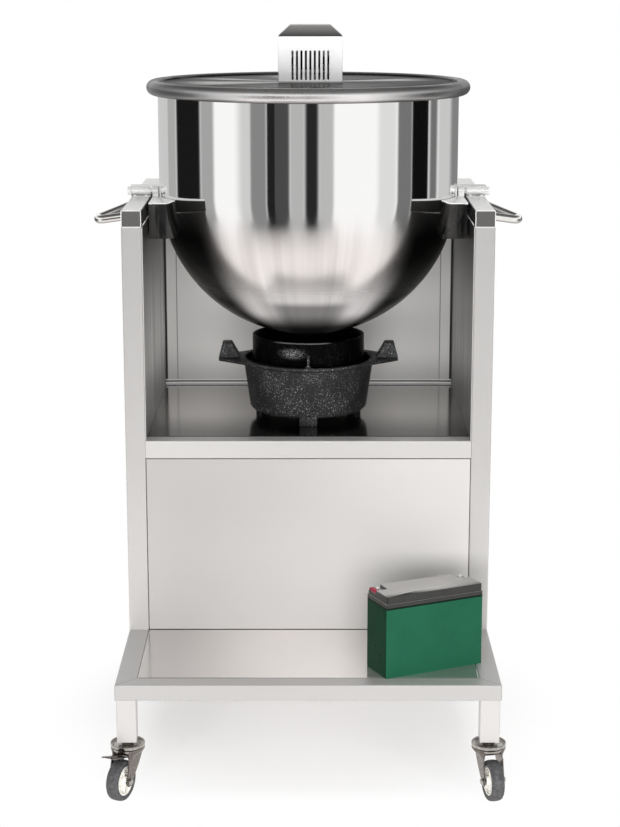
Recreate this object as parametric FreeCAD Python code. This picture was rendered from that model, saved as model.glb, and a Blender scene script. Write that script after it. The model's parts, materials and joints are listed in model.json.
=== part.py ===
import FreeCAD, Part
import math
import os

# Tilting cooking mixer on a wheeled frame. Millimetres, X to the right, Y to the back, Z up.
# The origin is on the floor, at the middle of the whole machine's footprint.

# Frame
TOWER_DEPTH = 571.0
TRAY_PROJECTION = 304.0
TUBE = 38.0
TUBE_WALL = 1.5
TUBE_CORNER = 2.5
BASE_RAIL_HEIGHT = 30.0
TOP_RAIL_HEIGHT = 32.0
SHELF_RAIL_HEIGHT = 35.0
LEG = 36.0
LEG_INSET = 2.0
LEG_PLUG_HEIGHT = 24.0
LEG_LENGTH = 81.0
TRAY_TO_SHELF = 380.0
CAP_THICKNESS = 2.0
CAP_RECESS = 0.6

# Sheet metal
SHEET = 1.5
PAN_FLANGE = 12.0
PAN_FOLD_RADIUS = 2.5
PANEL_SETBACK = 4.0
CORNER_STRIP_WIDTH = 26.0
ACCESS_GAP = 1.2
ACCESS_FLANGE = 15.0
CLIP_LENGTH = 40.0
CLIP_REACH = 12.0
SEAT_GAP = 0.3

# Push handles on the top side rails
HANDLE_DIAMETER = 16.0
HANDLE_REACH = 67.0
HANDLE_FRONT_LEG = 40.0
HANDLE_REAR_LEG = 133.0
HANDLE_TIP_SETBACK = 8.0
HANDLE_TIP_DROP = 9.0
HANDLE_REAR_RISE = 8.0
HANDLE_BEND = 15.0

# Pivots: bearing sleeve on the rail, pin and lug on the bowl
PIVOT_SETBACK = 232.0
BEARING_STRIP = 2.0
BEARING_STRIP_FRONT = 17.0
BEARING_STRIP_REAR = 9.0
SLEEVE_RADIUS = 9.0
PIN_RADIUS = 6.0
RUNNING_CLEARANCE = 0.05
SLEEVE_END_GAP = 0.5
PIN_HEAD_LENGTH = 7.0
PIN_HEAD_RADIUS = 8.5
CHEEK_RADIUS = 10.0
STOP_REACH = 84.0
STOP_THICKNESS = 5.0
STOP_TOP_ABOVE_PIVOT = 4.0
STOP_FRONT = 11.0
LUG_FRONT = 107.0
LUG_REAR = 18.0
LUG_HEIGHT = 70.0
LUG_PLATE = 4.0
LUG_SIDE_GAP = 4.0
LUG_TAB_WIDTH = 7.0
LUG_TAB_HEIGHT = 19.0
BOLT_RADIUS = 2.0
BOLT_HEAD_RADIUS = 3.5
BOLT_HEAD_HEIGHT = 3.0

# Bowl
BOWL_RADIUS = 294.0
BOWL_SIDE_GAP = 18.0
BOWL_OVER_BURNER = 50.0
BOWL_WALL = 2.0
BOWL_CENTRE_RISE = 11.0
BOWL_CYLINDER = 193.0
RIM_TUBE = 14.0
RIM_OFFSET = 8.0
RIM_WALL = 1.5

# Lid
LID_CLEARANCE = 3.0
LID_SHEET = 2.0
LID_RISE = 9.0
HEM_RISE = 0.3
GASKET_DEPTH = 8.0
HEM_REACH = 8.0

# Motor, cover and gears
COVER_X = 4.0
COVER_WIDTH = 124.0
COVER_DEPTH = 110.0
COVER_HEIGHT = 106.0
COVER_FORWARD = 45.0
COVER_CHAMFER_SIDE = 23.0
COVER_CHAMFER_HEIGHT = 20.0
COVER_SHEET = 1.5
SLOT_COUNT = 9
SLOT_PITCH = 8.6
SLOT_WIDTH = 4.0
SLOT_LENGTH = 56.0
SLOT_FOOT = 3.0
MOTOR_PLATE = 3.0
MOTOR_PLATE_MARGIN = 1.0
MODULE = 1.25
GEAR_TEETH = 48
PINION_TEETH = 12
GEAR_THICKNESS = 9.0
GEAR_BACKLASH = 0.2
BEARING_FLANGE = 4.0
BRIDGE_THICKNESS = 3.0
BRIDGE_GAP = 4.0
SPACER_RADIUS = 4.0
MOTOR_RADIUS = 22.0
MOTOR_LENGTH = 72.0
MOTOR_SHAFT_RADIUS = 3.0
SOCKET_BORE_RADIUS = 4.0
SOCKET_DEPTH = 12.0
SOCKET_RADIUS = 9.0
SWITCH_WIDTH = 20.0
SWITCH_HEIGHT = 14.0
SWITCH_DEPTH = 10.0
SWITCH_WALL = 2.0
SWITCH_PROUD = 2.0

# Stirrer
SHAFT_RADIUS = 8.0
PADDLE_GAP = 14.0
PADDLE_BAR = 6.0
PADDLE_WIDTH = 40.0
PADDLE_ARM_RISE = 70.0
HUB_RADIUS = 17.0
HUB_HEIGHT = 40.0
SCRAPER_REACH = 6.0
SCRAPER_WIDTH = 10.0
SCRAPER_FROM_DEG = 14.0
SCRAPER_TO_DEG = 72.0

# Burner
BURNER_RIM_HEIGHT = 120.0
BURNER_RIM_RADIUS = 132.0
BURNER_RIM_THICKNESS = 7.0
BURNER_TOP_RADIUS = 131.0
BURNER_BOTTOM_RADIUS = 117.0
BURNER_CLEARANCE = 16.0
BURNER_WALL = 6.0
BURNER_ROUNDING = 6.0
EAR_REACH = 180.0
EAR_TIP_HALF = 17.0
EAR_ROOT_ANGLE = 36.0
EAR_BLOCK_LENGTH = 26.0
EAR_BLOCK_RISE = 30.0
EAR_LEAN = 8.0
EAR_SLOPE = 17.0
FOOT_WIDTH = 35.0
FOOT_DEPTH = 14.0
PRONG_HEIGHT = 27.0
PRONG_WIDTH = 5.0
PRONG_BASE = 16.0
RING_RADIUS = 112.0
RING_WALL = 6.0
RING_TOP_RISE = 47.0
RING_DEPTH = 74.0
RING_RIB = 8.0
RING_SLOT_WIDTH = 3.0
RING_SLOT_HEIGHT = 28.0
FLAME_RING_RADIUS = 62.0
FLAME_TUBE = 12.0
FLAME_RING_DROP = 50.0
PIPE_RADIUS = 6.0
PIPE_CLEARANCE = 0.5
COCK_SIZE = 20.0
COCK_GAP = 1.0
LEVER_LIFT = 1.2
COCK_STEM_RADIUS = 3.0
COCK_STEM_LENGTH = 14.0
LEVER_LENGTH = 40.0
LEVER_WIDTH = 9.0
LEVER_THICKNESS = 3.0
BARB_RADIUS = 4.5
BARB_SETBACK = 2.0

# Casters
WHEEL_RADIUS = 37.5
TYRE_WIDTH = 24.0
TYRE_DEPTH = 10.5
HUB_BOSS_RADIUS = 9.0
HUB_BOSS_LENGTH = 27.0
HUB_WEB = 4.0
HUB_RIM = 4.0
HUB_RIM_INSET = 1.5
TYRE_SHOULDER = 5.0
TYRE_CROWN_DROP = 0.4
TYRE_CROWN_SHARE = 0.55
TRAIL = 28.0
CASTER_HEIGHT = 107.0
RACE_RADIUS = 31.5
RACE_THICKNESS = 5.0
RACE_LIP = 2.0
RACE_DISH_SLOPE = 3.0
RACE_DISH_DEPTH = 2.0
RACE_GAP = 0.6
RACE_DROP = 7.0
FORK_SHEET = 2.2
FORK_CLEAR = 5.0
FORK_BACK = 20.0
FORK_FRONT = 23.5
FORK_TIP = 10.0
CROWN_INSET = 1.0
CROWN_BEVEL = 3.0
CROWN_BEVEL_RISE = 2.0
AXLE_RADIUS = 4.0
AXLE_HEAD_RADIUS = 6.5
AXLE_HEAD_LENGTH = 5.0
STEM_RADIUS = 6.0
STEM_NUT_RADIUS = 12.0
PEDAL_WIDTH = 26.0
PEDAL_THICKNESS = 2.5
PEDAL_PIVOT_FORWARD = 13.0
PEDAL_PIVOT_DROP = 11.0
PEDAL_REACH = 75.0
PEDAL_ANGLE = 17.0
PEDAL_PIN_RADIUS = 2.5
SHOE_LENGTH = 12.0
SHOE_GAP = 4.0
FRONT_LEFT_TRAIL_DEG = -24.0
FRONT_RIGHT_TRAIL_DEG = 13.0
REAR_LEFT_TRAIL_DEG = -8.0
REAR_RIGHT_TRAIL_DEG = 17.0

# Battery
BATTERY_LENGTH = 200.0
BATTERY_WIDTH = 79.0
BATTERY_HEIGHT = 155.0
BATTERY_LID_HEIGHT = 21.0
BATTERY_LID_INSET = 1.5
BATTERY_YAW = 25.2
BATTERY_FROM_POST = 170.0
BATTERY_Y_FROM_TRAY_FRONT = 31.5
BATTERY_WALL = 2.5
TERMINAL_RECESS_LENGTH = 24.0
TERMINAL_RECESS_WIDTH = 30.0
TERMINAL_RECESS_DEPTH = 7.0
TERMINAL_TAB_WIDTH = 6.3
TERMINAL_TAB_HEIGHT = 8.0
TERMINAL_TAB_THICKNESS = 0.8

# Levels and places worked out from the sizes above
INNER_HALF = BOWL_RADIUS + BOWL_SIDE_GAP
HALF = INNER_HALF + TUBE
TRAY_TOP = CASTER_HEIGHT + LEG_LENGTH + BASE_RAIL_HEIGHT
SHELF_TOP = TRAY_TOP + TRAY_TO_SHELF
BURNER_RIM_Z = SHELF_TOP + BURNER_RIM_HEIGHT
BOWL_Z = BURNER_RIM_Z + BOWL_OVER_BURNER + BOWL_RADIUS
PIVOT_Z = BOWL_Z - BOWL_CENTRE_RISE
RAIL_TOP = PIVOT_Z - SLEEVE_RADIUS - BEARING_STRIP
RAIL_BOTTOM = RAIL_TOP - TOP_RAIL_HEIGHT
PEDAL_FRONT = (PEDAL_REACH * math.cos(math.radians(FRONT_LEFT_TRAIL_DEG))
               + PEDAL_WIDTH / 2 * abs(math.sin(math.radians(FRONT_LEFT_TRAIL_DEG))))
FRONT_OVERHANG = PEDAL_FRONT - LEG / 2 - LEG_INSET
REAR_OVERHANG = RACE_RADIUS - LEG / 2 - LEG_INSET
OVERALL_DEPTH = FRONT_OVERHANG + TRAY_PROJECTION + TOWER_DEPTH + REAR_OVERHANG
TRAY_FRONT = -OVERALL_DEPTH / 2 + FRONT_OVERHANG
TOWER_FRONT = TRAY_FRONT + TRAY_PROJECTION
BACK = TOWER_FRONT + TOWER_DEPTH
REAR_POST_FRONT = BACK - TUBE
PIVOT_Y = TOWER_FRONT + PIVOT_SETBACK
RIM_Z = BOWL_Z + BOWL_CYLINDER
RIM_RADIUS = BOWL_RADIUS + RIM_OFFSET
LID_RADIUS = RIM_RADIUS - RIM_TUBE - LID_CLEARANCE - LID_SHEET
LID_TOP = RIM_Z + LID_RISE
LID_BOTTOM = LID_TOP - LID_SHEET
HEM_BOTTOM = LID_TOP + HEM_RISE
COVER_BOTTOM = LID_TOP + MOTOR_PLATE
GEAR_BOTTOM = COVER_BOTTOM + BEARING_FLANGE + SEAT_GAP
GEAR_TOP = GEAR_BOTTOM + GEAR_THICKNESS
BRIDGE_BOTTOM = GEAR_TOP + BRIDGE_GAP
BRIDGE_TOP = BRIDGE_BOTTOM + BRIDGE_THICKNESS
GEAR_CENTRES = MODULE * (GEAR_TEETH + PINION_TEETH) / 2
MOTOR_Y = PIVOT_Y + GEAR_CENTRES
COVER_FRONT = PIVOT_Y - COVER_FORWARD
COVER_BACK = COVER_FRONT + COVER_DEPTH
PADDLE_RADIUS = BOWL_RADIUS - BOWL_WALL - PADDLE_GAP
BURNER_BASE_Z = SHELF_TOP + BURNER_CLEARANCE
FLAME_Z = BURNER_RIM_Z - FLAME_RING_DROP
RACE_TOP = CASTER_HEIGHT - RACE_DROP
FORK_TOP = RACE_TOP - 2 * RACE_THICKNESS - RACE_GAP
FORK_HALF = TYRE_WIDTH / 2 + FORK_CLEAR


def vec(x, y, z):
    return FreeCAD.Vector(x, y, z)


UP = vec(0, 0, 1)
ORIGIN = vec(0, 0, 0)


def block(x0, x1, y0, y1, z0, z1):
    return Part.makeBox(x1 - x0, y1 - y0, z1 - z0, vec(x0, y0, z0))


def rod(radius, start, end):
    run = end - start
    return Part.makeCylinder(radius, run.Length, start, run)


def prism(points, direction):
    wire = Part.makePolygon(list(points) + [points[0]])
    return Part.Face(wire).extrude(direction)


def turned(profile, x, y):
    """A solid of revolution about the vertical line at x, y, from (radius, height) points."""
    points = [vec(x + radius, y, height) for radius, height in profile]
    wire = Part.makePolygon(points + [points[0]])
    return Part.Face(wire).revolve(vec(x, y, 0), UP, 360)


def mirrored(shape):
    return shape.mirror(ORIGIN, vec(1, 0, 0))


def round_long_edges(shape, axis, radius):
    """Rounds the edges that run along the given axis."""
    chosen = []
    for edge in shape.Edges:
        run = edge.Vertexes[-1].Point - edge.Vertexes[0].Point
        if run.Length > 0 and abs(run.dot(axis)) > 0.999 * run.Length:
            chosen.append(edge)
    return shape.makeFillet(radius, chosen)


def tube(x0, x1, y0, y1, z0, z1, axis):
    """A rectangular steel tube that fills the box and is open at both ends along the axis."""
    outer = round_long_edges(block(x0, x1, y0, y1, z0, z1), axis, TUBE_CORNER)
    reach = [0.0 if part else TUBE_WALL for part in (axis.x, axis.y, axis.z)]
    over = [1.0 if part else 0.0 for part in (axis.x, axis.y, axis.z)]
    inner = block(x0 + reach[0] - over[0], x1 - reach[0] + over[0],
                  y0 + reach[1] - over[1], y1 - reach[1] + over[1],
                  z0 + reach[2] - over[2], z1 - reach[2] + over[2])
    inner = round_long_edges(inner, axis, TUBE_CORNER - TUBE_WALL)
    return outer.cut(inner)


def sheet_pan(x0, x1, y0, y1, top, flange, thickness, fold):
    """A flat sheet with its four edges folded down."""
    outer = block(x0, x1, y0, y1, top - flange, top)
    edges = [edge for edge in outer.Edges
             if all(abs(vertex.Point.z - top) < 1e-6 for vertex in edge.Vertexes)]
    outer = outer.makeFillet(fold, edges)
    inner = block(x0 + thickness, x1 - thickness, y0 + thickness, y1 - thickness,
                  top - flange - 1, top - thickness)
    return outer.cut(inner)


X_AXIS = vec(1, 0, 0)
Y_AXIS = vec(0, 1, 0)


# Frame

def base_rails():
    """Four tubes, mitred at the corners of the tray frame."""
    low = TRAY_TOP - BASE_RAIL_HEIGHT
    outer = [vec(-HALF, TRAY_FRONT, low), vec(HALF, TRAY_FRONT, low),
             vec(HALF, BACK, low), vec(-HALF, BACK, low)]
    inner = [vec(-INNER_HALF, TRAY_FRONT + TUBE, low), vec(INNER_HALF, TRAY_FRONT + TUBE, low),
             vec(INNER_HALF, BACK - TUBE, low), vec(-INNER_HALF, BACK - TUBE, low)]
    tubes = [
        tube(-HALF, HALF, TRAY_FRONT, TRAY_FRONT + TUBE, low, TRAY_TOP, X_AXIS),
        tube(INNER_HALF, HALF, TRAY_FRONT, BACK, low, TRAY_TOP, Y_AXIS),
        tube(-HALF, HALF, BACK - TUBE, BACK, low, TRAY_TOP, X_AXIS),
        tube(-HALF, -INNER_HALF, TRAY_FRONT, BACK, low, TRAY_TOP, Y_AXIS),
    ]
    rails = []
    for side, rail in enumerate(tubes):
        following = (side + 1) % 4
        corners = [outer[side], outer[following], inner[following], inner[side]]
        rails.append(rail.common(prism(corners, vec(0, 0, BASE_RAIL_HEIGHT))))
    return rails


def leg_centres():
    x = HALF - LEG_INSET - LEG / 2
    front = TRAY_FRONT + LEG_INSET + LEG / 2
    rear = BACK - LEG_INSET - LEG / 2
    return {"front_left": (-x, front), "front_right": (x, front),
            "rear_left": (-x, rear), "rear_right": (x, rear)}


def legs():
    top = TRAY_TOP - BASE_RAIL_HEIGHT
    half = LEG / 2
    return [tube(x - half, x + half, y - half, y + half, CASTER_HEIGHT, top, UP)
            for x, y in leg_centres().values()]


def leg_plugs():
    """Square plugs in the legs' feet, bored for the caster stems."""
    half = LEG / 2 - TUBE_WALL
    plugs = []
    for x, y in leg_centres().values():
        plug = block(x - half, x + half, y - half, y + half, CASTER_HEIGHT, CASTER_HEIGHT + LEG_PLUG_HEIGHT)
        plug = round_long_edges(plug, UP, TUBE_CORNER - TUBE_WALL)
        bore = rod(STEM_RADIUS, vec(x, y, CASTER_HEIGHT - 1), vec(x, y, CASTER_HEIGHT + LEG_PLUG_HEIGHT + 1))
        plugs.append(plug.cut(bore))
    return plugs


def posts(front):
    left = tube(-HALF, -INNER_HALF, front, front + TUBE, TRAY_TOP, RAIL_BOTTOM, UP)
    return [left, mirrored(left)]


def shelf_rails():
    low = SHELF_TOP - SHELF_RAIL_HEIGHT
    front = tube(-INNER_HALF, INNER_HALF, TOWER_FRONT, TOWER_FRONT + TUBE, low, SHELF_TOP, X_AXIS)
    rear = tube(-INNER_HALF, INNER_HALF, REAR_POST_FRONT, BACK, low, SHELF_TOP, X_AXIS)
    left = tube(-HALF, -INNER_HALF, TOWER_FRONT + TUBE, REAR_POST_FRONT, low, SHELF_TOP, Y_AXIS)
    return [front, rear, left, mirrored(left)]


def top_rails():
    left = tube(-HALF, -INNER_HALF, TOWER_FRONT, BACK, RAIL_BOTTOM, RAIL_TOP, Y_AXIS)
    rear = tube(-INNER_HALF, INNER_HALF, REAR_POST_FRONT, BACK, RAIL_BOTTOM, RAIL_TOP, X_AXIS)
    return [left, mirrored(left), rear]


def rail_end_caps():
    """Flat caps a little inside the open ends of the top side rails."""
    caps = []
    for start in (TOWER_FRONT + CAP_RECESS, BACK - CAP_RECESS - CAP_THICKNESS):
        cap = block(-HALF + TUBE_WALL, -INNER_HALF - TUBE_WALL, start, start + CAP_THICKNESS,
                    RAIL_BOTTOM + TUBE_WALL, RAIL_TOP - TUBE_WALL)
        cap = round_long_edges(cap, Y_AXIS, TUBE_CORNER - TUBE_WALL)
        caps += [cap, mirrored(cap)]
    return caps


# Sheet metal

def tray_sheet():
    return [sheet_pan(-INNER_HALF, INNER_HALF, TRAY_FRONT + TUBE, BACK - TUBE, TRAY_TOP,
                      PAN_FLANGE, SHEET, PAN_FOLD_RADIUS)]


def shelf_sheet():
    return [sheet_pan(-INNER_HALF, INNER_HALF, TOWER_FRONT + TUBE, REAR_POST_FRONT, SHELF_TOP,
                      PAN_FLANGE, SHEET, PAN_FOLD_RADIUS)]


def back_panel():
    """The bright panel behind the bowl, bored for the gas pipe, with a strip in each corner."""
    panel = block(-INNER_HALF, INNER_HALF, REAR_POST_FRONT, REAR_POST_FRONT + SHEET, SHELF_TOP, RAIL_BOTTOM)
    panel = panel.cut(rod(PIPE_RADIUS + PIPE_CLEARANCE, vec(0, REAR_POST_FRONT - 1, FLAME_Z),
                          vec(0, REAR_POST_FRONT + SHEET + 1, FLAME_Z)))
    outer = INNER_HALF - SHEET
    strip = block(-outer, -outer + CORNER_STRIP_WIDTH, REAR_POST_FRONT - SHEET, REAR_POST_FRONT,
                  SHELF_TOP, RAIL_BOTTOM)
    return [panel, strip, mirrored(strip)]


def lower_back_panel():
    return [block(-INNER_HALF, INNER_HALF, REAR_POST_FRONT, REAR_POST_FRONT + SHEET,
                  TRAY_TOP, SHELF_TOP - SHELF_RAIL_HEIGHT)]


def side_panels(low, high, front):
    left = block(-INNER_HALF, -INNER_HALF + SHEET, front, REAR_POST_FRONT, low, high)
    return [left, mirrored(left)]


def access_panel_box():
    side = INNER_HALF - ACCESS_GAP
    low = TRAY_TOP + ACCESS_GAP
    high = SHELF_TOP - SHELF_RAIL_HEIGHT - ACCESS_GAP
    front = TOWER_FRONT + ACCESS_GAP
    return side, low, high, front


def front_access_panel():
    """A pan that closes the lower compartment, its flanges pointing inwards."""
    side, low, high, front = access_panel_box()
    outer = block(-side, side, front, front + ACCESS_FLANGE, low, high)
    inner = block(-side + SHEET, side - SHEET, front + SHEET, front + ACCESS_FLANGE + 1,
                  low + SHEET, high - SHEET)
    return [outer.cut(inner)]


def panel_clips():
    """Four tabs welded inside the front posts, which the access panel's flanges stop against."""
    side, low, high, front = access_panel_box()
    start = front + ACCESS_FLANGE + SEAT_GAP
    clips = []
    for foot in (low + CLIP_LENGTH, high - 2 * CLIP_LENGTH):
        clip = block(-INNER_HALF, -INNER_HALF + CLIP_REACH, start, start + SHEET, foot, foot + CLIP_LENGTH)
        clips += [clip, mirrored(clip)]
    return clips


# Push handles

def push_handle():
    """A bent bar on the left rail: straight out, round the tip, and back to the rail further behind."""
    inside = HANDLE_DIAMETER
    level = RAIL_TOP - HANDLE_REAR_RISE - HANDLE_DIAMETER / 2
    tip = vec(-HALF - HANDLE_REACH + HANDLE_DIAMETER / 2, TOWER_FRONT + HANDLE_FRONT_LEG + HANDLE_TIP_SETBACK,
              level - HANDLE_TIP_DROP)
    near = vec(-HALF, TOWER_FRONT + HANDLE_FRONT_LEG, level)
    far = vec(-HALF, TOWER_FRONT + HANDLE_REAR_LEG, level + HANDLE_REAR_RISE)
    out = (tip - near).normalize()
    back = (far - tip).normalize()
    near = near - out * inside
    far = far + back * inside
    turn = math.acos(out.dot(back))
    setback = HANDLE_BEND * math.tan(turn / 2)
    bisector = (back - out).normalize()
    middle = tip + bisector * (HANDLE_BEND / math.cos(turn / 2) - HANDLE_BEND)
    start = tip - out * setback
    end = tip + back * setback
    path = Part.Wire([Part.LineSegment(near, start).toShape(), Part.Arc(start, middle, end).toShape(),
                      Part.LineSegment(end, far).toShape()])
    section = Part.Wire([Part.makeCircle(HANDLE_DIAMETER / 2, near, out)])
    bar = path.makePipeShell([section], True, True)
    reach = 4 * HANDLE_REACH
    outside = block(-HALF - reach, -HALF, TOWER_FRONT - reach, BACK, RAIL_BOTTOM - reach, RAIL_TOP + reach)
    return bar.common(outside)


# Pivots

def pivot_bearing():
    """The left rail's bearing: a strip bolted to the rail and the sleeve welded on it."""
    strip = block(-HALF, -INNER_HALF, PIVOT_Y - BEARING_STRIP_FRONT, PIVOT_Y + BEARING_STRIP_REAR,
                  RAIL_TOP, RAIL_TOP + BEARING_STRIP)
    inner = -INNER_HALF - SLEEVE_END_GAP
    outer = -HALF + SLEEVE_END_GAP
    sleeve = rod(SLEEVE_RADIUS, vec(inner, PIVOT_Y, PIVOT_Z), vec(outer, PIVOT_Y, PIVOT_Z))
    seat = block(outer, inner, PIVOT_Y - SLEEVE_RADIUS / 2, PIVOT_Y + SLEEVE_RADIUS / 2, RAIL_TOP, PIVOT_Z)
    bearing = strip.fuse([sleeve, seat])
    bore = rod(PIN_RADIUS + RUNNING_CLEARANCE, vec(inner + 1, PIVOT_Y, PIVOT_Z),
               vec(outer - 1, PIVOT_Y, PIVOT_Z))
    bolts = []
    for x in (-INNER_HALF - TUBE / 5, -HALF + TUBE / 5):
        y = PIVOT_Y - BEARING_STRIP_FRONT + BOLT_HEAD_RADIUS + 1
        top = RAIL_TOP + BEARING_STRIP
        shank = rod(BOLT_RADIUS, vec(x, y, RAIL_TOP), vec(x, y, top))
        bolts.append(rod(BOLT_HEAD_RADIUS, vec(x, y, top), vec(x, y, top + BOLT_HEAD_HEIGHT)).fuse(shank))
        bore = bore.fuse(shank)
    return [bearing.cut(bore).removeSplitter()] + bolts


def bowl_solid(shrink):
    """The space inside the bowl's wall, shrunk by the given amount."""
    radius = BOWL_RADIUS - shrink
    ball = Part.makeSphere(radius, vec(0, PIVOT_Y, BOWL_Z))
    reach = 2 * radius
    below = block(-reach, reach, PIVOT_Y - reach, PIVOT_Y + reach, BOWL_Z - reach, BOWL_Z)
    return ball.common(below).fuse(Part.makeCylinder(radius, BOWL_CYLINDER, vec(0, PIVOT_Y, BOWL_Z)))


def rim_ring(grow):
    return Part.makeTorus(RIM_RADIUS, RIM_TUBE + grow, vec(0, PIVOT_Y, RIM_Z), UP)


def bowl_shell():
    return [bowl_solid(0).cut(bowl_solid(BOWL_WALL).fuse(rim_ring(0)))]


def bowl_rim():
    """The rim is a rolled tube, hollow inside."""
    return [rim_ring(0).cut(rim_ring(-RIM_WALL))]


def trunnion():
    """The left lug on the bowl, its pin through the bearing, and the stop arm that rests on the rail."""
    outer = -INNER_HALF + LUG_SIDE_GAP
    top = RAIL_TOP
    low = top - LUG_HEIGHT
    front = PIVOT_Y - LUG_FRONT
    rear = PIVOT_Y + LUG_REAR
    inner = -BOWL_RADIUS / 2
    lug = block(outer, inner, front, rear, low, top)
    hollow = block(outer + LUG_PLATE, inner + 1, front + LUG_PLATE, rear - LUG_PLATE,
                   low + LUG_PLATE, top - LUG_PLATE)
    lug = lug.cut(hollow)
    tab = block(outer, outer + LUG_TAB_WIDTH, front - LUG_PLATE, front, top - LUG_TAB_HEIGHT, top)
    pin_end = -HALF - SLEEVE_END_GAP - PIN_HEAD_LENGTH
    pin = rod(PIN_RADIUS, vec(outer, PIVOT_Y, PIVOT_Z), vec(pin_end, PIVOT_Y, PIVOT_Z))
    head = rod(PIN_HEAD_RADIUS, vec(-HALF - SLEEVE_END_GAP, PIVOT_Y, PIVOT_Z), vec(pin_end, PIVOT_Y, PIVOT_Z))
    cheek_end = outer + 3 * LUG_PLATE
    cheek = rod(CHEEK_RADIUS, vec(outer, PIVOT_Y, PIVOT_Z), vec(cheek_end, PIVOT_Y, PIVOT_Z))
    cheek_foot = block(outer, cheek_end, PIVOT_Y - CHEEK_RADIUS, PIVOT_Y + CHEEK_RADIUS, top - 1, PIVOT_Z)
    plate_top = PIVOT_Z + STOP_TOP_ABOVE_PIVOT
    back = PIVOT_Y + STOP_REACH
    plate_low = plate_top - STOP_THICKNESS
    plate = block(pin_end, cheek_end, PIVOT_Y + STOP_FRONT, back, plate_low, plate_top)
    lip = block(pin_end, cheek_end, back - STOP_THICKNESS, back, RAIL_TOP + SEAT_GAP, plate_top)
    arms = [block(x0, x1, PIVOT_Y, PIVOT_Y + STOP_FRONT + 1, plate_low, plate_top)
            for x0, x1 in ((outer, cheek_end), (pin_end, -HALF - SLEEVE_END_GAP))]
    shape = lug.fuse([tab, pin, head, cheek, cheek_foot, plate, lip] + arms)
    return shape.cut(bowl_solid(0)).removeSplitter()


# Lid and drive

def lid_plate():
    """A dished lid whose hem lies over the inner shoulder of the bowl's rim."""
    edge = LID_RADIUS + LID_SHEET
    profile = [(SHAFT_RADIUS * 2, LID_BOTTOM), (edge, LID_BOTTOM), (edge, HEM_BOTTOM),
               (LID_RADIUS + HEM_REACH, HEM_BOTTOM), (LID_RADIUS + HEM_REACH, HEM_BOTTOM + LID_SHEET),
               (LID_RADIUS, HEM_BOTTOM + LID_SHEET), (LID_RADIUS, LID_TOP), (SHAFT_RADIUS * 2, LID_TOP)]
    return [turned(profile, 0, PIVOT_Y)]


def lid_gasket():
    """The soft ring between the lid's hem and the rim."""
    inner = LID_RADIUS + LID_SHEET
    outer = LID_RADIUS + HEM_REACH
    low = HEM_BOTTOM - GASKET_DEPTH
    profile = [(inner, low), (outer, low), (outer, HEM_BOTTOM), (inner, HEM_BOTTOM)]
    return [turned(profile, 0, PIVOT_Y).cut(rim_ring(SEAT_GAP))]


def motor_base():
    """The plate between lid and cover."""
    margin = MOTOR_PLATE_MARGIN
    half = COVER_WIDTH / 2 - margin
    plate = block(COVER_X - half, COVER_X + half, COVER_FRONT + margin, COVER_BACK - margin,
                  LID_TOP, COVER_BOTTOM)
    bore = rod(SHAFT_RADIUS * 2, vec(0, PIVOT_Y, LID_TOP - 1), vec(0, PIVOT_Y, COVER_BOTTOM + 1))
    return [plate.cut(bore)]


def shaft_bearing():
    profile = [(SHAFT_RADIUS + RUNNING_CLEARANCE, LID_BOTTOM), (SHAFT_RADIUS * 2, LID_BOTTOM),
               (SHAFT_RADIUS * 2, COVER_BOTTOM), (SHAFT_RADIUS * 2 + BEARING_FLANGE, COVER_BOTTOM),
               (SHAFT_RADIUS * 2 + BEARING_FLANGE, COVER_BOTTOM + BEARING_FLANGE),
               (SHAFT_RADIUS + RUNNING_CLEARANCE, COVER_BOTTOM + BEARING_FLANGE)]
    return [turned(profile, 0, PIVOT_Y)]


def cover_hood(inset):
    """The cover's outside, or its inside when inset by the sheet: a box with the top edges cut away."""
    low = COVER_BOTTOM - inset
    high = COVER_BOTTOM + COVER_HEIGHT - inset
    left = COVER_X - COVER_WIDTH / 2 + inset
    right = COVER_X + COVER_WIDTH / 2 - inset
    front = COVER_FRONT + inset
    back = COVER_BACK - inset
    side = COVER_CHAMFER_SIDE
    drop = COVER_CHAMFER_HEIGHT
    across = prism([vec(left, front, low), vec(right, front, low), vec(right, front, high - drop),
                    vec(right - side, front, high), vec(left + side, front, high),
                    vec(left, front, high - drop)],
                   vec(0, back - front, 0))
    along = prism([vec(left, front, low), vec(left, back, low), vec(left, back, high),
                   vec(left, front + side, high), vec(left, front, high - drop)],
                  vec(right - left, 0, 0))
    return across.common(along)


def cover_slot(centre):
    """One upright slot with round ends."""
    radius = SLOT_WIDTH / 2
    low = COVER_BOTTOM + SLOT_FOOT + radius
    high = COVER_BOTTOM + SLOT_FOOT + SLOT_LENGTH - radius
    start = COVER_FRONT - 1
    end = COVER_FRONT + COVER_SHEET + 1
    slot = block(centre - radius, centre + radius, start, end, low, high)
    ends = [rod(radius, vec(centre, start, level), vec(centre, end, level)) for level in (low, high)]
    return slot.fuse(ends)


def socket_centre():
    return vec(COVER_X - COVER_WIDTH / 4, COVER_BACK, COVER_BOTTOM + COVER_HEIGHT / 3)


def switch_centre():
    return vec(COVER_X + COVER_WIDTH / 4, COVER_BACK, COVER_BOTTOM + COVER_HEIGHT / 3)


def switch_opening():
    centre = switch_centre()
    return block(centre.x - SWITCH_WIDTH / 2, centre.x + SWITCH_WIDTH / 2,
                 centre.y - SWITCH_DEPTH, centre.y + 1,
                 centre.z - SWITCH_HEIGHT / 2, centre.z + SWITCH_HEIGHT / 2)


def motor_cover():
    cover = cover_hood(0).cut(cover_hood(COVER_SHEET))
    first = COVER_X - (SLOT_COUNT - 1) / 2 * SLOT_PITCH
    slots = [cover_slot(first + index * SLOT_PITCH) for index in range(SLOT_COUNT)]
    centre = socket_centre()
    hole = rod(SOCKET_RADIUS - 2, centre - Y_AXIS * (COVER_SHEET + 1), centre + Y_AXIS)
    return [cover.cut(slots + [hole, switch_opening()])]


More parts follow.
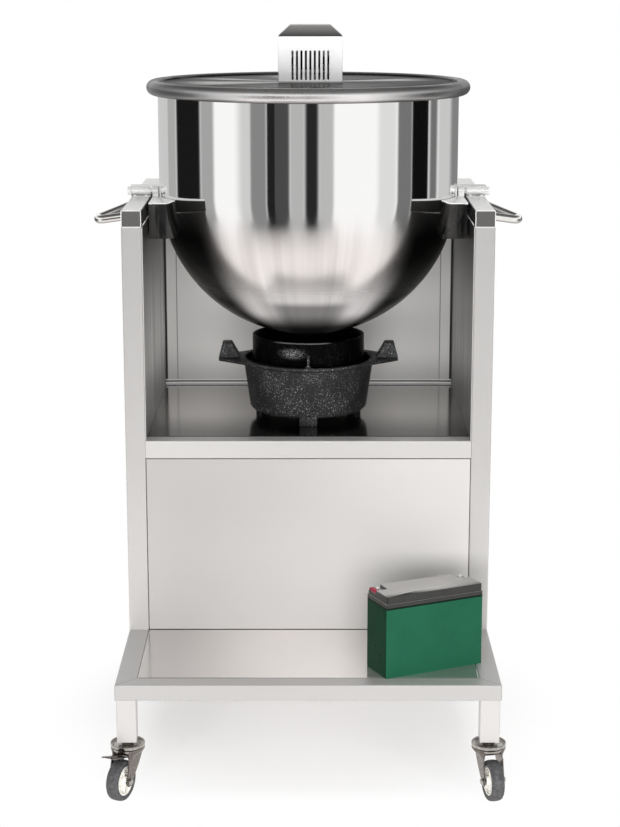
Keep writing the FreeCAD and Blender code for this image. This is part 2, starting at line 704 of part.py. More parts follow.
def power_socket():
    """The socket for the battery lead, and the housing that holds the switch, on the cover's back."""
    centre = socket_centre()
    depth = Y_AXIS * SOCKET_DEPTH
    barrel = rod(SOCKET_RADIUS - 2, centre - depth, centre)
    flange = rod(SOCKET_RADIUS, centre - Y_AXIS * (COVER_SHEET + 2), centre - Y_AXIS * COVER_SHEET)
    bore = rod(SOCKET_BORE_RADIUS, centre - depth + Y_AXIS * 2, centre + Y_AXIS)
    socket = barrel.fuse(flange).cut(bore)
    opening = switch_opening()
    box = opening.BoundBox
    wall = SWITCH_WALL
    housing = block(box.XMin, box.XMax, box.YMin, COVER_BACK, box.ZMin, box.ZMax)
    cavity = block(box.XMin + wall, box.XMax - wall, box.YMin + wall, COVER_BACK + 1,
                   box.ZMin + wall, box.ZMax - wall)
    return [socket, housing.cut(cavity)]


def rocker_radius():
    return SWITCH_HEIGHT / 2 - SWITCH_WALL - SEAT_GAP


def rocker_pivot():
    """The rocker's axle, as close to the housing's back wall as the drum allows."""
    centre = switch_centre()
    return vec(centre.x, centre.y - SWITCH_DEPTH + SWITCH_WALL + SEAT_GAP + rocker_radius(), centre.z)


def switch_rocker():
    """The rocker: a drum across the housing with the lobe that is pressed."""
    pivot = rocker_pivot()
    reach = rocker_radius()
    half = SWITCH_WIDTH / 2 - SWITCH_WALL - SEAT_GAP
    start = pivot.x - half
    drum = rod(reach, vec(start, pivot.y, pivot.z), vec(pivot.x + half, pivot.y, pivot.z))
    lobe = prism([vec(start, pivot.y, pivot.z - reach / 2), vec(start, pivot.y, pivot.z + reach / 2),
                  vec(start, COVER_BACK + SWITCH_PROUD + reach / 2, pivot.z)], vec(2 * half, 0, 0))
    return [drum.fuse(lobe)]


def gear_outline(teeth, phase, backlash):
    """Tooth flanks as straight-sided approximations of involute teeth, as points about the axis."""
    pitch_radius = MODULE * teeth / 2
    tip = pitch_radius + MODULE * 0.95
    root = pitch_radius - MODULE * 1.2
    pressure = math.tan(math.radians(20))
    half_pitch_angle = math.pi / (2 * teeth) - backlash / pitch_radius
    points = []
    for tooth in range(teeth):
        centre = phase + 2 * math.pi * tooth / teeth
        for radius, sign in ((root, -1), (tip, -1), (tip, 1), (root, 1)):
            half = half_pitch_angle - (radius - pitch_radius) * pressure / radius
            points.append((radius * math.cos(centre + sign * half), radius * math.sin(centre + sign * half)))
    return points


def spur_gear(teeth, phase, x, y, low, bore):
    outline = [vec(x + px, y + py, low) for px, py in gear_outline(teeth, phase, GEAR_BACKLASH)]
    blank = prism(outline, vec(0, 0, GEAR_THICKNESS))
    return blank.cut(rod(bore, vec(x, y, low - 1), vec(x, y, low + GEAR_THICKNESS + 1)))


def drive_gear():
    return [spur_gear(GEAR_TEETH, math.pi / 2, 0, PIVOT_Y, GEAR_BOTTOM, SHAFT_RADIUS)]


def motor_pinion():
    """The pinion, a tooth space facing the gear, with the motor's shaft in it."""
    phase = -math.pi / 2 + math.pi / PINION_TEETH
    pinion = spur_gear(PINION_TEETH, phase, 0, MOTOR_Y, GEAR_BOTTOM, MOTOR_SHAFT_RADIUS)
    shaft = rod(MOTOR_SHAFT_RADIUS, vec(0, MOTOR_Y, GEAR_BOTTOM), vec(0, MOTOR_Y, BRIDGE_TOP + SPACER_RADIUS))
    return [pinion.fuse(shaft).removeSplitter()]


def motor_bridge():
    """The plate over the gears on four spacers, which holds the motor."""
    half = COVER_WIDTH / 2 - 3 * SPACER_RADIUS
    front = COVER_FRONT + 3 * SPACER_RADIUS
    back = COVER_BACK - 3 * SPACER_RADIUS
    plate = block(COVER_X - half, COVER_X + half, front, back, BRIDGE_BOTTOM, BRIDGE_TOP)
    spacers = [rod(SPACER_RADIUS, vec(x, y, COVER_BOTTOM), vec(x, y, BRIDGE_BOTTOM))
               for x in (COVER_X - half + SPACER_RADIUS, COVER_X + half - SPACER_RADIUS)
               for y in (front + SPACER_RADIUS, back - SPACER_RADIUS)]
    holes = [rod(MOTOR_SHAFT_RADIUS + 1, vec(0, MOTOR_Y, BRIDGE_BOTTOM - 1), vec(0, MOTOR_Y, BRIDGE_TOP + 1)),
             rod(SHAFT_RADIUS + 1, vec(0, PIVOT_Y, BRIDGE_BOTTOM - 1), vec(0, PIVOT_Y, BRIDGE_TOP + 1))]
    return [plate.fuse(spacers).cut(holes)]


def motor_body():
    can = rod(MOTOR_RADIUS, vec(0, MOTOR_Y, BRIDGE_TOP), vec(0, MOTOR_Y, BRIDGE_TOP + MOTOR_LENGTH))
    bore = rod(MOTOR_SHAFT_RADIUS + RUNNING_CLEARANCE, vec(0, MOTOR_Y, BRIDGE_TOP - 1),
               vec(0, MOTOR_Y, BRIDGE_TOP + 2 * SPACER_RADIUS))
    return [can.cut(bore)]


# Stirrer

def stirrer_shaft():
    foot = BOWL_Z - PADDLE_RADIUS + PADDLE_BAR
    return [rod(SHAFT_RADIUS, vec(0, PIVOT_Y, foot), vec(0, PIVOT_Y, GEAR_TOP + SEAT_GAP))]


def paddle_arc(inner, outer, from_deg, to_deg, width):
    """A curved bar that follows the bowl's round bottom, between two angles from straight down."""
    def at(radius, degrees):
        angle = math.radians(degrees)
        return vec(radius * math.sin(angle), PIVOT_Y - width / 2, BOWL_Z - radius * math.cos(angle))
    middle = (from_deg + to_deg) / 2
    edges = [Part.Arc(at(outer, from_deg), at(outer, middle), at(outer, to_deg)).toShape(),
             Part.LineSegment(at(outer, to_deg), at(inner, to_deg)).toShape(),
             Part.Arc(at(inner, to_deg), at(inner, middle), at(inner, from_deg)).toShape(),
             Part.LineSegment(at(inner, from_deg), at(outer, from_deg)).toShape()]
    return Part.Face(Part.Wire(edges)).extrude(vec(0, width, 0))


def anchor_paddle():
    """A U-shaped flat bar, the arm across it and the hub on the shaft."""
    outer = PADDLE_RADIUS
    inner = outer - PADDLE_BAR
    arm_low = BOWL_Z + PADDLE_ARM_RISE
    bow = paddle_arc(inner, outer, -90, 90, PADDLE_WIDTH)
    near = PIVOT_Y - PADDLE_WIDTH / 2
    far = PIVOT_Y + PADDLE_WIDTH / 2
    sides = [block(x0, x1, near, far, BOWL_Z, arm_low + PADDLE_BAR)
             for x0, x1 in ((-outer, -inner), (inner, outer))]
    arm = block(-inner, inner, near, far, arm_low, arm_low + PADDLE_BAR)
    rise = HUB_HEIGHT / 2
    floor = BOWL_Z - inner
    hub = rod(HUB_RADIUS, vec(0, PIVOT_Y, arm_low - rise), vec(0, PIVOT_Y, arm_low + rise))
    boss = rod(HUB_RADIUS, vec(0, PIVOT_Y, floor - 1), vec(0, PIVOT_Y, floor + rise))
    bore = rod(SHAFT_RADIUS, vec(0, PIVOT_Y, floor), vec(0, PIVOT_Y, arm_low + HUB_HEIGHT))
    return [bow.fuse(sides + [arm, hub, boss]).cut(bore).removeSplitter()]


def scraper_blades():
    outer = PADDLE_RADIUS + SCRAPER_REACH
    right = paddle_arc(PADDLE_RADIUS, outer, SCRAPER_FROM_DEG, SCRAPER_TO_DEG, SCRAPER_WIDTH)
    return [right, mirrored(right)]


# Burner

def around(shape, angle):
    """The shape turned about the bowl's upright axis."""
    turned_shape = shape.copy()
    turned_shape.rotate(vec(0, PIVOT_Y, 0), UP, angle)
    return turned_shape


def burner_body():
    """A tapered cast pot with a flat rim, an ear on each side, three feet and two prongs on the rim."""
    rim_low = BURNER_RIM_Z - BURNER_RIM_THICKNESS
    wall = BURNER_WALL
    rounding = BURNER_ROUNDING
    outside = turned([(0, BURNER_BASE_Z), (BURNER_BOTTOM_RADIUS - rounding, BURNER_BASE_Z),
                      (BURNER_BOTTOM_RADIUS, BURNER_BASE_Z + rounding), (BURNER_TOP_RADIUS, BURNER_RIM_Z),
                      (0, BURNER_RIM_Z)], 0, PIVOT_Y)
    inner_floor = BURNER_BASE_Z + wall
    inside = turned([(0, inner_floor), (BURNER_BOTTOM_RADIUS - rounding - wall, inner_floor),
                     (BURNER_BOTTOM_RADIUS - wall, inner_floor + rounding),
                     (BURNER_TOP_RADIUS - wall, BURNER_RIM_Z + 1), (0, BURNER_RIM_Z + 1)], 0, PIVOT_Y)
    rim = Part.makeCylinder(BURNER_RIM_RADIUS, BURNER_RIM_THICKNESS, vec(0, PIVOT_Y, rim_low))
    root = math.radians(EAR_ROOT_ANGLE)
    root_x = BURNER_RIM_RADIUS * math.cos(root)
    root_y = BURNER_RIM_RADIUS * math.sin(root)
    start = PIVOT_Y - EAR_TIP_HALF
    ear = prism([vec(root_x, PIVOT_Y - root_y, rim_low), vec(EAR_REACH, start, rim_low),
                 vec(EAR_REACH, PIVOT_Y + EAR_TIP_HALF, rim_low), vec(root_x, PIVOT_Y + root_y, rim_low)],
                vec(0, 0, BURNER_RIM_THICKNESS))
    high = BURNER_RIM_Z + EAR_BLOCK_RISE
    knob_inner = EAR_REACH - EAR_BLOCK_LENGTH
    knob_foot = knob_inner - EAR_SLOPE
    knob = prism([vec(knob_foot, start, rim_low), vec(EAR_REACH, start, rim_low),
                  vec(EAR_REACH, start, BURNER_RIM_Z), vec(EAR_REACH - EAR_LEAN, start, high),
                  vec(knob_inner, start, high), vec(knob_foot, start, BURNER_RIM_Z)],
                 vec(0, 2 * EAR_TIP_HALF, 0))
    right = ear.fuse(knob)
    foot_front = PIVOT_Y - BURNER_BOTTOM_RADIUS + rounding / 2
    foot = block(-FOOT_WIDTH / 2, FOOT_WIDTH / 2, foot_front, foot_front + FOOT_DEPTH,
                 SHELF_TOP, BURNER_BASE_Z + wall / 2)
    prong_face = PIVOT_Y - BURNER_TOP_RADIUS
    prong_half = [(PRONG_BASE / 2, rim_low), (PRONG_BASE / 2, BURNER_RIM_Z),
                  (PRONG_WIDTH / 2, BURNER_RIM_Z + PRONG_WIDTH),
                  (PRONG_WIDTH / 2, BURNER_RIM_Z + PRONG_HEIGHT)]
    prong_points = [vec(x, prong_face, z) for x, z in prong_half]
    prong_points += [vec(-x, prong_face, z) for x, z in reversed(prong_half)]
    prong = prism(prong_points, vec(0, wall, 0))
    feet = [around(foot, angle) for angle in (0, 120, 240)]
    prongs = [around(prong, angle) for angle in (0, 180)]
    body = outside.fuse([rim, right, mirrored(right)]).cut(inside)
    body = body.fuse(feet + prongs)
    inlet = rod(PIPE_RADIUS, vec(0, PIVOT_Y + BURNER_BOTTOM_RADIUS / 2, FLAME_Z),
                vec(0, PIVOT_Y + BURNER_RIM_RADIUS + 1, FLAME_Z))
    return [body.cut(inlet).removeSplitter()]


def burner_ring():
    """The upright ring inside the pot, which shields the flame, on four ribs to the pot's wall."""
    top = BURNER_RIM_Z + RING_TOP_RISE
    low = top - RING_DEPTH
    ring = turned([(RING_RADIUS - RING_WALL, low), (RING_RADIUS, low), (RING_RADIUS, top),
                   (RING_RADIUS - RING_WALL, top)], 0, PIVOT_Y)
    slot_low = BURNER_RIM_Z
    slot = block(-RING_SLOT_WIDTH / 2, RING_SLOT_WIDTH / 2, PIVOT_Y - RING_RADIUS - 1,
                 PIVOT_Y - RING_RADIUS + RING_WALL + 1, slot_low, slot_low + RING_SLOT_HEIGHT)
    ring = ring.cut([around(slot, angle) for angle in (45, 135, 225, 315)])
    rib = block(-RING_RIB / 2, RING_RIB / 2, PIVOT_Y - BURNER_TOP_RADIUS,
                PIVOT_Y - RING_RADIUS + RING_WALL / 2, low, BURNER_RIM_Z)
    ribs = [around(rib, angle) for angle in (22.5, 112.5, 202.5, 292.5)]
    ring = ring.fuse(ribs).cut(burner_wall_space())
    return [ring.removeSplitter()]


def burner_wall_space():
    """The pot's own wall, above its floor, so that the ribs end on it."""
    wall = BURNER_WALL
    slope_low = BURNER_BASE_Z + BURNER_ROUNDING
    outer = BURNER_TOP_RADIUS + wall
    return turned([(BURNER_BOTTOM_RADIUS - wall, slope_low + wall), (outer, slope_low + wall),
                   (outer, BURNER_RIM_Z + 1), (BURNER_TOP_RADIUS - wall, BURNER_RIM_Z + 1)], 0, PIVOT_Y)


def gas_pipe():
    """The pipe from the cock behind the back panel to the flame ring, with a hose barb at its end."""
    cock_front = REAR_POST_FRONT + SHEET + COCK_GAP
    cock_back = cock_front + COCK_SIZE
    pipe = rod(PIPE_RADIUS, vec(0, PIVOT_Y + FLAME_RING_RADIUS, FLAME_Z), vec(0, cock_front, FLAME_Z))
    flame = Part.makeTorus(FLAME_RING_RADIUS, FLAME_TUBE, vec(0, PIVOT_Y, FLAME_Z), UP)
    half = COCK_SIZE / 2
    cock = block(-half, half, cock_front, cock_back, FLAME_Z - half, FLAME_Z + half)
    stem = rod(COCK_STEM_RADIUS, vec(0, cock_front + half, FLAME_Z + half),
               vec(0, cock_front + half, FLAME_Z + half + COCK_STEM_LENGTH))
    barb = rod(BARB_RADIUS, vec(0, cock_back, FLAME_Z), vec(0, BACK - BARB_SETBACK, FLAME_Z))
    return [pipe.fuse([flame, cock, stem, barb]).removeSplitter()]


def gas_lever():
    """The cock's lever, which points sideways when the gas is off."""
    y = REAR_POST_FRONT + SHEET + COCK_GAP + COCK_SIZE / 2
    low = FLAME_Z + COCK_SIZE / 2 + LEVER_LIFT
    hub = rod(LEVER_WIDTH / 2, vec(0, y, low), vec(0, y, low + 2 * LEVER_THICKNESS))
    arm = block(0, LEVER_LENGTH, y - LEVER_WIDTH / 2, y + LEVER_WIDTH / 2, low, low + LEVER_THICKNESS)
    bore = rod(COCK_STEM_RADIUS + RUNNING_CLEARANCE, vec(0, y, low - 1), vec(0, y, low + 3 * LEVER_THICKNESS))
    return [hub.fuse(arm).cut(bore)]


# Casters. Each is made at the origin, trailing towards -Y, then turned and moved under its leg.

def placed(shape, corner, degrees):
    x, y = leg_centres()[corner]
    moved = shape.copy()
    moved.rotate(ORIGIN, UP, degrees)
    moved.translate(vec(x, y, 0))
    return moved


def caster_stem():
    """The fixed half: stem, nut and the dished upper race."""
    top = RACE_TOP
    low = top - RACE_THICKNESS
    dish = top - RACE_DISH_DEPTH
    lip_inner = RACE_RADIUS - RACE_LIP
    race = turned([(0, low), (RACE_RADIUS, low), (RACE_RADIUS, top + RACE_LIP),
                   (lip_inner, top + RACE_LIP), (lip_inner - RACE_DISH_SLOPE, dish), (0, dish)], 0, 0)
    nut = rod(STEM_NUT_RADIUS, vec(0, 0, dish), vec(0, 0, CASTER_HEIGHT))
    stem = rod(STEM_RADIUS, vec(0, 0, CASTER_HEIGHT), vec(0, 0, CASTER_HEIGHT + LEG_PLUG_HEIGHT))
    return race.fuse([nut, stem])


def fork_leg_outline(x):
    """One fork leg seen from the side: wide at the crown, round at the axle."""
    tip = FORK_TIP
    diagonal = tip * math.sqrt(0.5)
    top_back = vec(x, FORK_BACK, FORK_TOP)
    top_front = vec(x, -FORK_FRONT, FORK_TOP)
    foot_front = vec(x, -TRAIL - tip, WHEEL_RADIUS)
    foot_low = vec(x, -TRAIL, WHEEL_RADIUS - tip)
    foot_back = vec(x, -TRAIL + diagonal, WHEEL_RADIUS - diagonal)
    edges = [Part.LineSegment(top_back, top_front).toShape(),
             Part.LineSegment(top_front, foot_front).toShape(),
             Part.Arc(foot_front, foot_low, foot_back).toShape(),
             Part.LineSegment(foot_back, top_back).toShape()]
    return Part.Wire(edges)


def caster_fork(braked):
    """The swivelling half: lower race, two legs and the axle bolt with its nut."""
    crown_top = RACE_TOP - RACE_THICKNESS - RACE_GAP
    edge = RACE_RADIUS - CROWN_INSET
    crown = turned([(0, FORK_TOP), (edge - CROWN_BEVEL, FORK_TOP), (edge, FORK_TOP + CROWN_BEVEL_RISE),
                    (edge, crown_top), (0, crown_top)], 0, 0)
    inner = FORK_HALF
    legs_made = []
    for x in (-inner - FORK_SHEET, inner):
        leg = Part.Face(fork_leg_outline(x)).extrude(vec(FORK_SHEET, 0, 0))
        legs_made.append(leg)
    bridge = block(-inner, inner, -RACE_RADIUS / 2, RACE_RADIUS / 2, FORK_TOP - FORK_SHEET, FORK_TOP)
    fork = crown.fuse(legs_made + [bridge])
    axle_hole = rod(AXLE_RADIUS, vec(-2 * inner, -TRAIL, WHEEL_RADIUS), vec(2 * inner, -TRAIL, WHEEL_RADIUS))
    fork = fork.cut(axle_hole)
    if braked:
        pivot = pedal_pivot()
        fork = fork.cut(rod(PEDAL_PIN_RADIUS + RUNNING_CLEARANCE, vec(-2 * inner, pivot.y, pivot.z),
                            vec(2 * inner, pivot.y, pivot.z)))
    face = inner + FORK_SHEET
    axle = rod(AXLE_RADIUS, vec(-face, -TRAIL, WHEEL_RADIUS), vec(face, -TRAIL, WHEEL_RADIUS))
    heads = [rod(AXLE_HEAD_RADIUS, vec(side * face, -TRAIL, WHEEL_RADIUS),
                 vec(side * (face + AXLE_HEAD_LENGTH), -TRAIL, WHEEL_RADIUS)) for side in (-1, 1)]
    return [fork.removeSplitter(), axle.fuse(heads).removeSplitter()]


def wheel_turned(profile):
    """A solid of revolution about the axle, from (radius, distance along the axle) points."""
    points = [vec(along, -TRAIL, WHEEL_RADIUS + radius) for radius, along in profile]
    wire = Part.makePolygon(points + [points[0]])
    return Part.Face(wire).revolve(vec(0, -TRAIL, WHEEL_RADIUS), X_AXIS, 360)


def caster_hub():
    bore = AXLE_RADIUS + RUNNING_CLEARANCE
    seat = WHEEL_RADIUS - TYRE_DEPTH
    boss = HUB_BOSS_LENGTH / 2
    rim = TYRE_WIDTH / 2 - HUB_RIM_INSET
    web = HUB_WEB / 2
    inside = seat - HUB_RIM
    return wheel_turned([(bore, -boss), (HUB_BOSS_RADIUS, -boss), (HUB_BOSS_RADIUS, -web), (inside, -web),
                         (inside, -rim), (seat, -rim), (seat, rim), (inside, rim), (inside, web),
                         (HUB_BOSS_RADIUS, web), (HUB_BOSS_RADIUS, boss), (bore, boss)])


def caster_tyre():
    """The tyre, with a crowned tread and rounded shoulders."""
    seat = WHEEL_RADIUS - TYRE_DEPTH
    half = TYRE_WIDTH / 2
    seat_half = half - HUB_RIM_INSET
    shoulder = WHEEL_RADIUS - TYRE_SHOULDER
    crown_half = half * TYRE_CROWN_SHARE
    crown = WHEEL_RADIUS - TYRE_CROWN_DROP
    bend_half = (half + crown_half) / 2 + TYRE_CROWN_DROP
    bend = crown - (crown - shoulder) / 4

    def at(radius, along):
        return vec(along, -TRAIL, WHEEL_RADIUS + radius)

    edges = [Part.LineSegment(at(seat, -seat_half), at(shoulder, -half)).toShape(),
             Part.Arc(at(shoulder, -half), at(bend, -bend_half), at(crown, -crown_half)).toShape(),
             Part.Arc(at(crown, -crown_half), at(WHEEL_RADIUS, 0), at(crown, crown_half)).toShape(),
             Part.Arc(at(crown, crown_half), at(bend, bend_half), at(shoulder, half)).toShape(),
             Part.LineSegment(at(shoulder, half), at(seat, seat_half)).toShape(),
             Part.LineSegment(at(seat, seat_half), at(seat, -seat_half)).toShape()]
    return Part.Face(Part.Wire(edges)).revolve(vec(0, -TRAIL, WHEEL_RADIUS), X_AXIS, 360)


def pedal_pivot():
    return vec(0, -PEDAL_PIVOT_FORWARD, FORK_TOP - PEDAL_PIVOT_DROP)


def brake_pedal():
    """A foot lever on a pin across the fork, with the shoe that presses on the tyre."""
    pivot = pedal_pivot()
    half = PEDAL_WIDTH / 2
    rise = math.tan(math.radians(PEDAL_ANGLE))
    start = pivot.y
    end = -PEDAL_REACH
    end_z = pivot.z + (start - end) * rise
    plate = prism([vec(-half, start, pivot.z), vec(-half, end, end_z),
                   vec(-half, end, end_z + PEDAL_THICKNESS), vec(-half, start, pivot.z + PEDAL_THICKNESS)],
                  vec(PEDAL_WIDTH, 0, 0))
    pin = rod(PEDAL_PIN_RADIUS, vec(-FORK_HALF - FORK_SHEET, pivot.y, pivot.z),
              vec(FORK_HALF + FORK_SHEET, pivot.y, pivot.z))
    shoe_front = -TRAIL - SHOE_LENGTH / 2
    shoe_low = 2 * WHEEL_RADIUS + SHOE_GAP
    shoe_top = pivot.z + (start + TRAIL - SHOE_LENGTH / 2) * rise
    shoe = block(-half / 2, half / 2, shoe_front, shoe_front + SHOE_LENGTH, shoe_low, shoe_top + 1)
    return plate.fuse([pin, shoe]).removeSplitter()


TRAIL_DEGREES = {"front_left": FRONT_LEFT_TRAIL_DEG, "front_right": FRONT_RIGHT_TRAIL_DEG,
                 "rear_left": REAR_LEFT_TRAIL_DEG, "rear_right": REAR_RIGHT_TRAIL_DEG}
BRAKED = ("front_left", "rear_right")


# Battery. Made with its near corner at the origin, long side along X, then turned and set on the tray.

def set_on_tray(shape):
    moved = shape.copy()
    moved.rotate(ORIGIN, UP, BATTERY_YAW)
    moved.translate(vec(INNER_HALF - BATTERY_FROM_POST, TRAY_FRONT + BATTERY_Y_FROM_TRAY_FRONT, TRAY_TOP))
    return moved


def battery_case():
    high = BATTERY_HEIGHT - BATTERY_LID_HEIGHT
    case = block(0, BATTERY_LENGTH, 0, BATTERY_WIDTH, 0, high)
    case = round_long_edges(case, UP, BATTERY_WALL)
    return [set_on_tray(case)]


def terminal_recesses():
    """The left front corner and the right back corner of the lid, where the terminals stand."""
    top = BATTERY_HEIGHT
    inset = BATTERY_LID_INSET
    low = top - TERMINAL_RECESS_DEPTH
    left = block(inset, inset + TERMINAL_RECESS_LENGTH, BATTERY_WIDTH - inset - TERMINAL_RECESS_WIDTH,
                 BATTERY_WIDTH - inset, low, top)
    right = block(BATTERY_LENGTH - inset - TERMINAL_RECESS_LENGTH, BATTERY_LENGTH - inset,
                  BATTERY_WIDTH - inset - TERMINAL_RECESS_WIDTH, BATTERY_WIDTH - inset, low, top)
    return left, right


def battery_lid():
    low = BATTERY_HEIGHT - BATTERY_LID_HEIGHT
    inset = BATTERY_LID_INSET
    flange_top = low + BATTERY_LID_HEIGHT / 3
    flange = round_long_edges(block(0, BATTERY_LENGTH, 0, BATTERY_WIDTH, low, flange_top), UP, BATTERY_WALL)
    upper = block(inset, BATTERY_LENGTH - inset, inset, BATTERY_WIDTH - inset, flange_top - 1, BATTERY_HEIGHT)
    upper = round_long_edges(upper, UP, BATTERY_WALL)
    return [set_on_tray(flange.fuse(upper).cut(list(terminal_recesses())).removeSplitter())]


def battery_terminals():
    tabs = []
    for recess in terminal_recesses():
        box = recess.BoundBox
        middle = (box.YMin + box.YMax) / 2
        centre = (box.XMin + box.XMax) / 2
        half_width = TERMINAL_TAB_WIDTH / 2
        half_thickness = TERMINAL_TAB_THICKNESS / 2
        tab = block(centre - half_width, centre + half_width,
                    middle - half_thickness, middle + half_thickness,
                    box.ZMin, box.ZMin + TERMINAL_TAB_HEIGHT)
        tabs.append(set_on_tray(tab))
    return tabs


# All the nodes

def build_nodes():
    handle = push_handle()
    bearing = pivot_bearing()
    lug = trunnion()
    nodes = {
        "base_rails": base_rails(),
        "legs": legs(),
        "leg_plugs": leg_plugs(),
        "front_posts": posts(TOWER_FRONT),
        "rear_posts": posts(REAR_POST_FRONT),
        "shelf_rails": shelf_rails(),
        "top_rails": top_rails(),
        "rail_end_caps": rail_end_caps(),
        "tray_sheet": tray_sheet(),
        "shelf_sheet": shelf_sheet(),
        "back_panel": back_panel(),
        "lower_back_panel": lower_back_panel(),
        "upper_side_panels": side_panels(SHELF_TOP, RAIL_BOTTOM, TOWER_FRONT + PANEL_SETBACK),
        "lower_side_panels": side_panels(TRAY_TOP, SHELF_TOP - SHELF_RAIL_HEIGHT, TOWER_FRONT + TUBE),
        "panel_clips": panel_clips(),
        "front_access_panel": front_access_panel(),
        "left_handle": [handle],
        "right_handle": [mirrored(handle)],
        "left_pivot_bearing": bearing,
        "right_pivot_bearing": [mirrored(shape) for shape in bearing],
        "bowl_shell": bowl_shell(),
        "bowl_rim": bowl_rim(),
        "left_trunnion": [lug],
        "right_trunnion": [mirrored(lug)],
        "lid_plate": lid_plate(),
        "lid_gasket": lid_gasket(),
        "motor_base": motor_base(),
        "motor_cover": motor_cover(),
        "motor_bridge": motor_bridge(),
        "motor_body": motor_body(),
        "shaft_bearing": shaft_bearing(),
        "power_socket": power_socket(),
        "switch_rocker": switch_rocker(),
        "motor_pinion": motor_pinion(),
        "drive_gear": drive_gear(),
        "stirrer_shaft": stirrer_shaft(),
        "anchor_paddle": anchor_paddle(),
        "scraper_blades": scraper_blades(),
        "burner_body": burner_body(),
        "burner_ring": burner_ring(),
        "gas_pipe": gas_pipe(),
        "gas_lever": gas_lever(),
        "battery_case": battery_case(),
        "battery_lid": battery_lid(),
        "battery_terminals": battery_terminals(),
    }
    nodes["caster_stems"] = [placed(caster_stem(), corner, 0) for corner in TRAIL_DEGREES]
    for corner, degrees in TRAIL_DEGREES.items():
        braked = corner in BRAKED
        nodes[corner + "_fork"] = [placed(shape, corner, degrees) for shape in caster_fork(braked)]
        nodes[corner + "_hub"] = [placed(caster_hub(), corner, degrees)]
        nodes[corner + "_tyre"] = [placed(caster_tyre(), corner, degrees)]
        if braked:
            nodes[corner + "_pedal"] = [placed(brake_pedal(), corner, degrees)]
    return nodes


def main():
    os.makedirs("parts", exist_ok=True)
    whole = FreeCAD.BoundBox()
    for name, shapes in build_nodes().items():
        solids = [solid for shape in shapes for solid in shape.Solids]
        node = solids[0] if len(solids) == 1 else Part.makeCompound(solids)
        node.exportStep("parts/" + name + ".step")
        whole.add(node.BoundBox)
        print(name, len(solids), "solids, valid", node.isValid(), "volume", round(node.Volume))
    print("box", whole)


main()
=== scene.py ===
import json
import math

import bmesh
import bpy
from mathutils import Matrix, Vector

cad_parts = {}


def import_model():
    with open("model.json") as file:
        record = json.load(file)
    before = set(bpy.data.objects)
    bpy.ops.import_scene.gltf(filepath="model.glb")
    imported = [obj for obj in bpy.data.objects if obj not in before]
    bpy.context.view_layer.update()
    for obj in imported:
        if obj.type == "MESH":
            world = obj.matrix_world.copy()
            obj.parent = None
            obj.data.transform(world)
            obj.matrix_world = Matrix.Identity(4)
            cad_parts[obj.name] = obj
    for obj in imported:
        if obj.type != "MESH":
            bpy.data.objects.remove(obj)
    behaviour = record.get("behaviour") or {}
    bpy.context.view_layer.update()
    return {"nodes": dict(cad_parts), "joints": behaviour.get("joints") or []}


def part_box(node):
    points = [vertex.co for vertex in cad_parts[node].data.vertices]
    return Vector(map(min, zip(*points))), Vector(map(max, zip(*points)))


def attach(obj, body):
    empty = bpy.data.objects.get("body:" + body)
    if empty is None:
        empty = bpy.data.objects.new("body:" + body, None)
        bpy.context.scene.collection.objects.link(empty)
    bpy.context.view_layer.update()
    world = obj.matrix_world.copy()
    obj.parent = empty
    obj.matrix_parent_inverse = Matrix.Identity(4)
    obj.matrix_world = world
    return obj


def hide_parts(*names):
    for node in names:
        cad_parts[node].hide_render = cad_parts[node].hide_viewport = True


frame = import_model()
nodes = frame["nodes"]

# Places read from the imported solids, in metres
bowl_low, bowl_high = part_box("bowl_shell")
rim_low, rim_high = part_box("bowl_rim")
lid_low, lid_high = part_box("lid_plate")
cover_low, cover_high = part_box("motor_cover")
case_low, case_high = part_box("battery_case")
cap_low, cap_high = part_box("battery_lid")
AXIS_Y = (bowl_low.y + bowl_high.y) / 2
TOWER_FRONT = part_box("front_posts")[0].y
BOWL_RADIUS = (bowl_high.x - bowl_low.x) / 2
BOWL_CENTRE_Z = bowl_low.z + BOWL_RADIUS
CASE_TOP = case_high.z
SHELF_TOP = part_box("shelf_sheet")[1].z
SHELF_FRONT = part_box("shelf_sheet")[0].y
RAIL_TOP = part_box("top_rails")[1].z
TRAY_SHEET_LOW, TRAY_SHEET_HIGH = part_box("tray_sheet")
INNER_HALF = TRAY_SHEET_HIGH.x
RIM_TUBE = (rim_high.z - rim_low.z) / 2
RIM_Z = (rim_high.z + rim_low.z) / 2
RING_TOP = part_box("burner_ring")[1].z
BATTERY_YAW_DEG = 25.2
BATTERY_WIDTH = 0.079

# Camera, at the photograph's height and slope
CAMERA_X = 0.0033
CAMERA_DISTANCE = 3.602
CAMERA_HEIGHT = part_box("legs")[0].z + 1.370
CAMERA_DOWN_DEG = 12.9
LENS_MM = 84.3

# Floor and light
FLOOR_RADIUS = 3.4
FLOOR_WHITE_FROM = 0.22
FLOOR_WHITE_TO = 0.57
FLOOR_CLEAR_FROM = 1.9
FLOOR_LIFT = 0.24
REFLECTION_PLAIN_TO = 0.8
REFLECTION_STUDIO_FROM = 2.6
AMBIENT = 0.42


# Node wiring

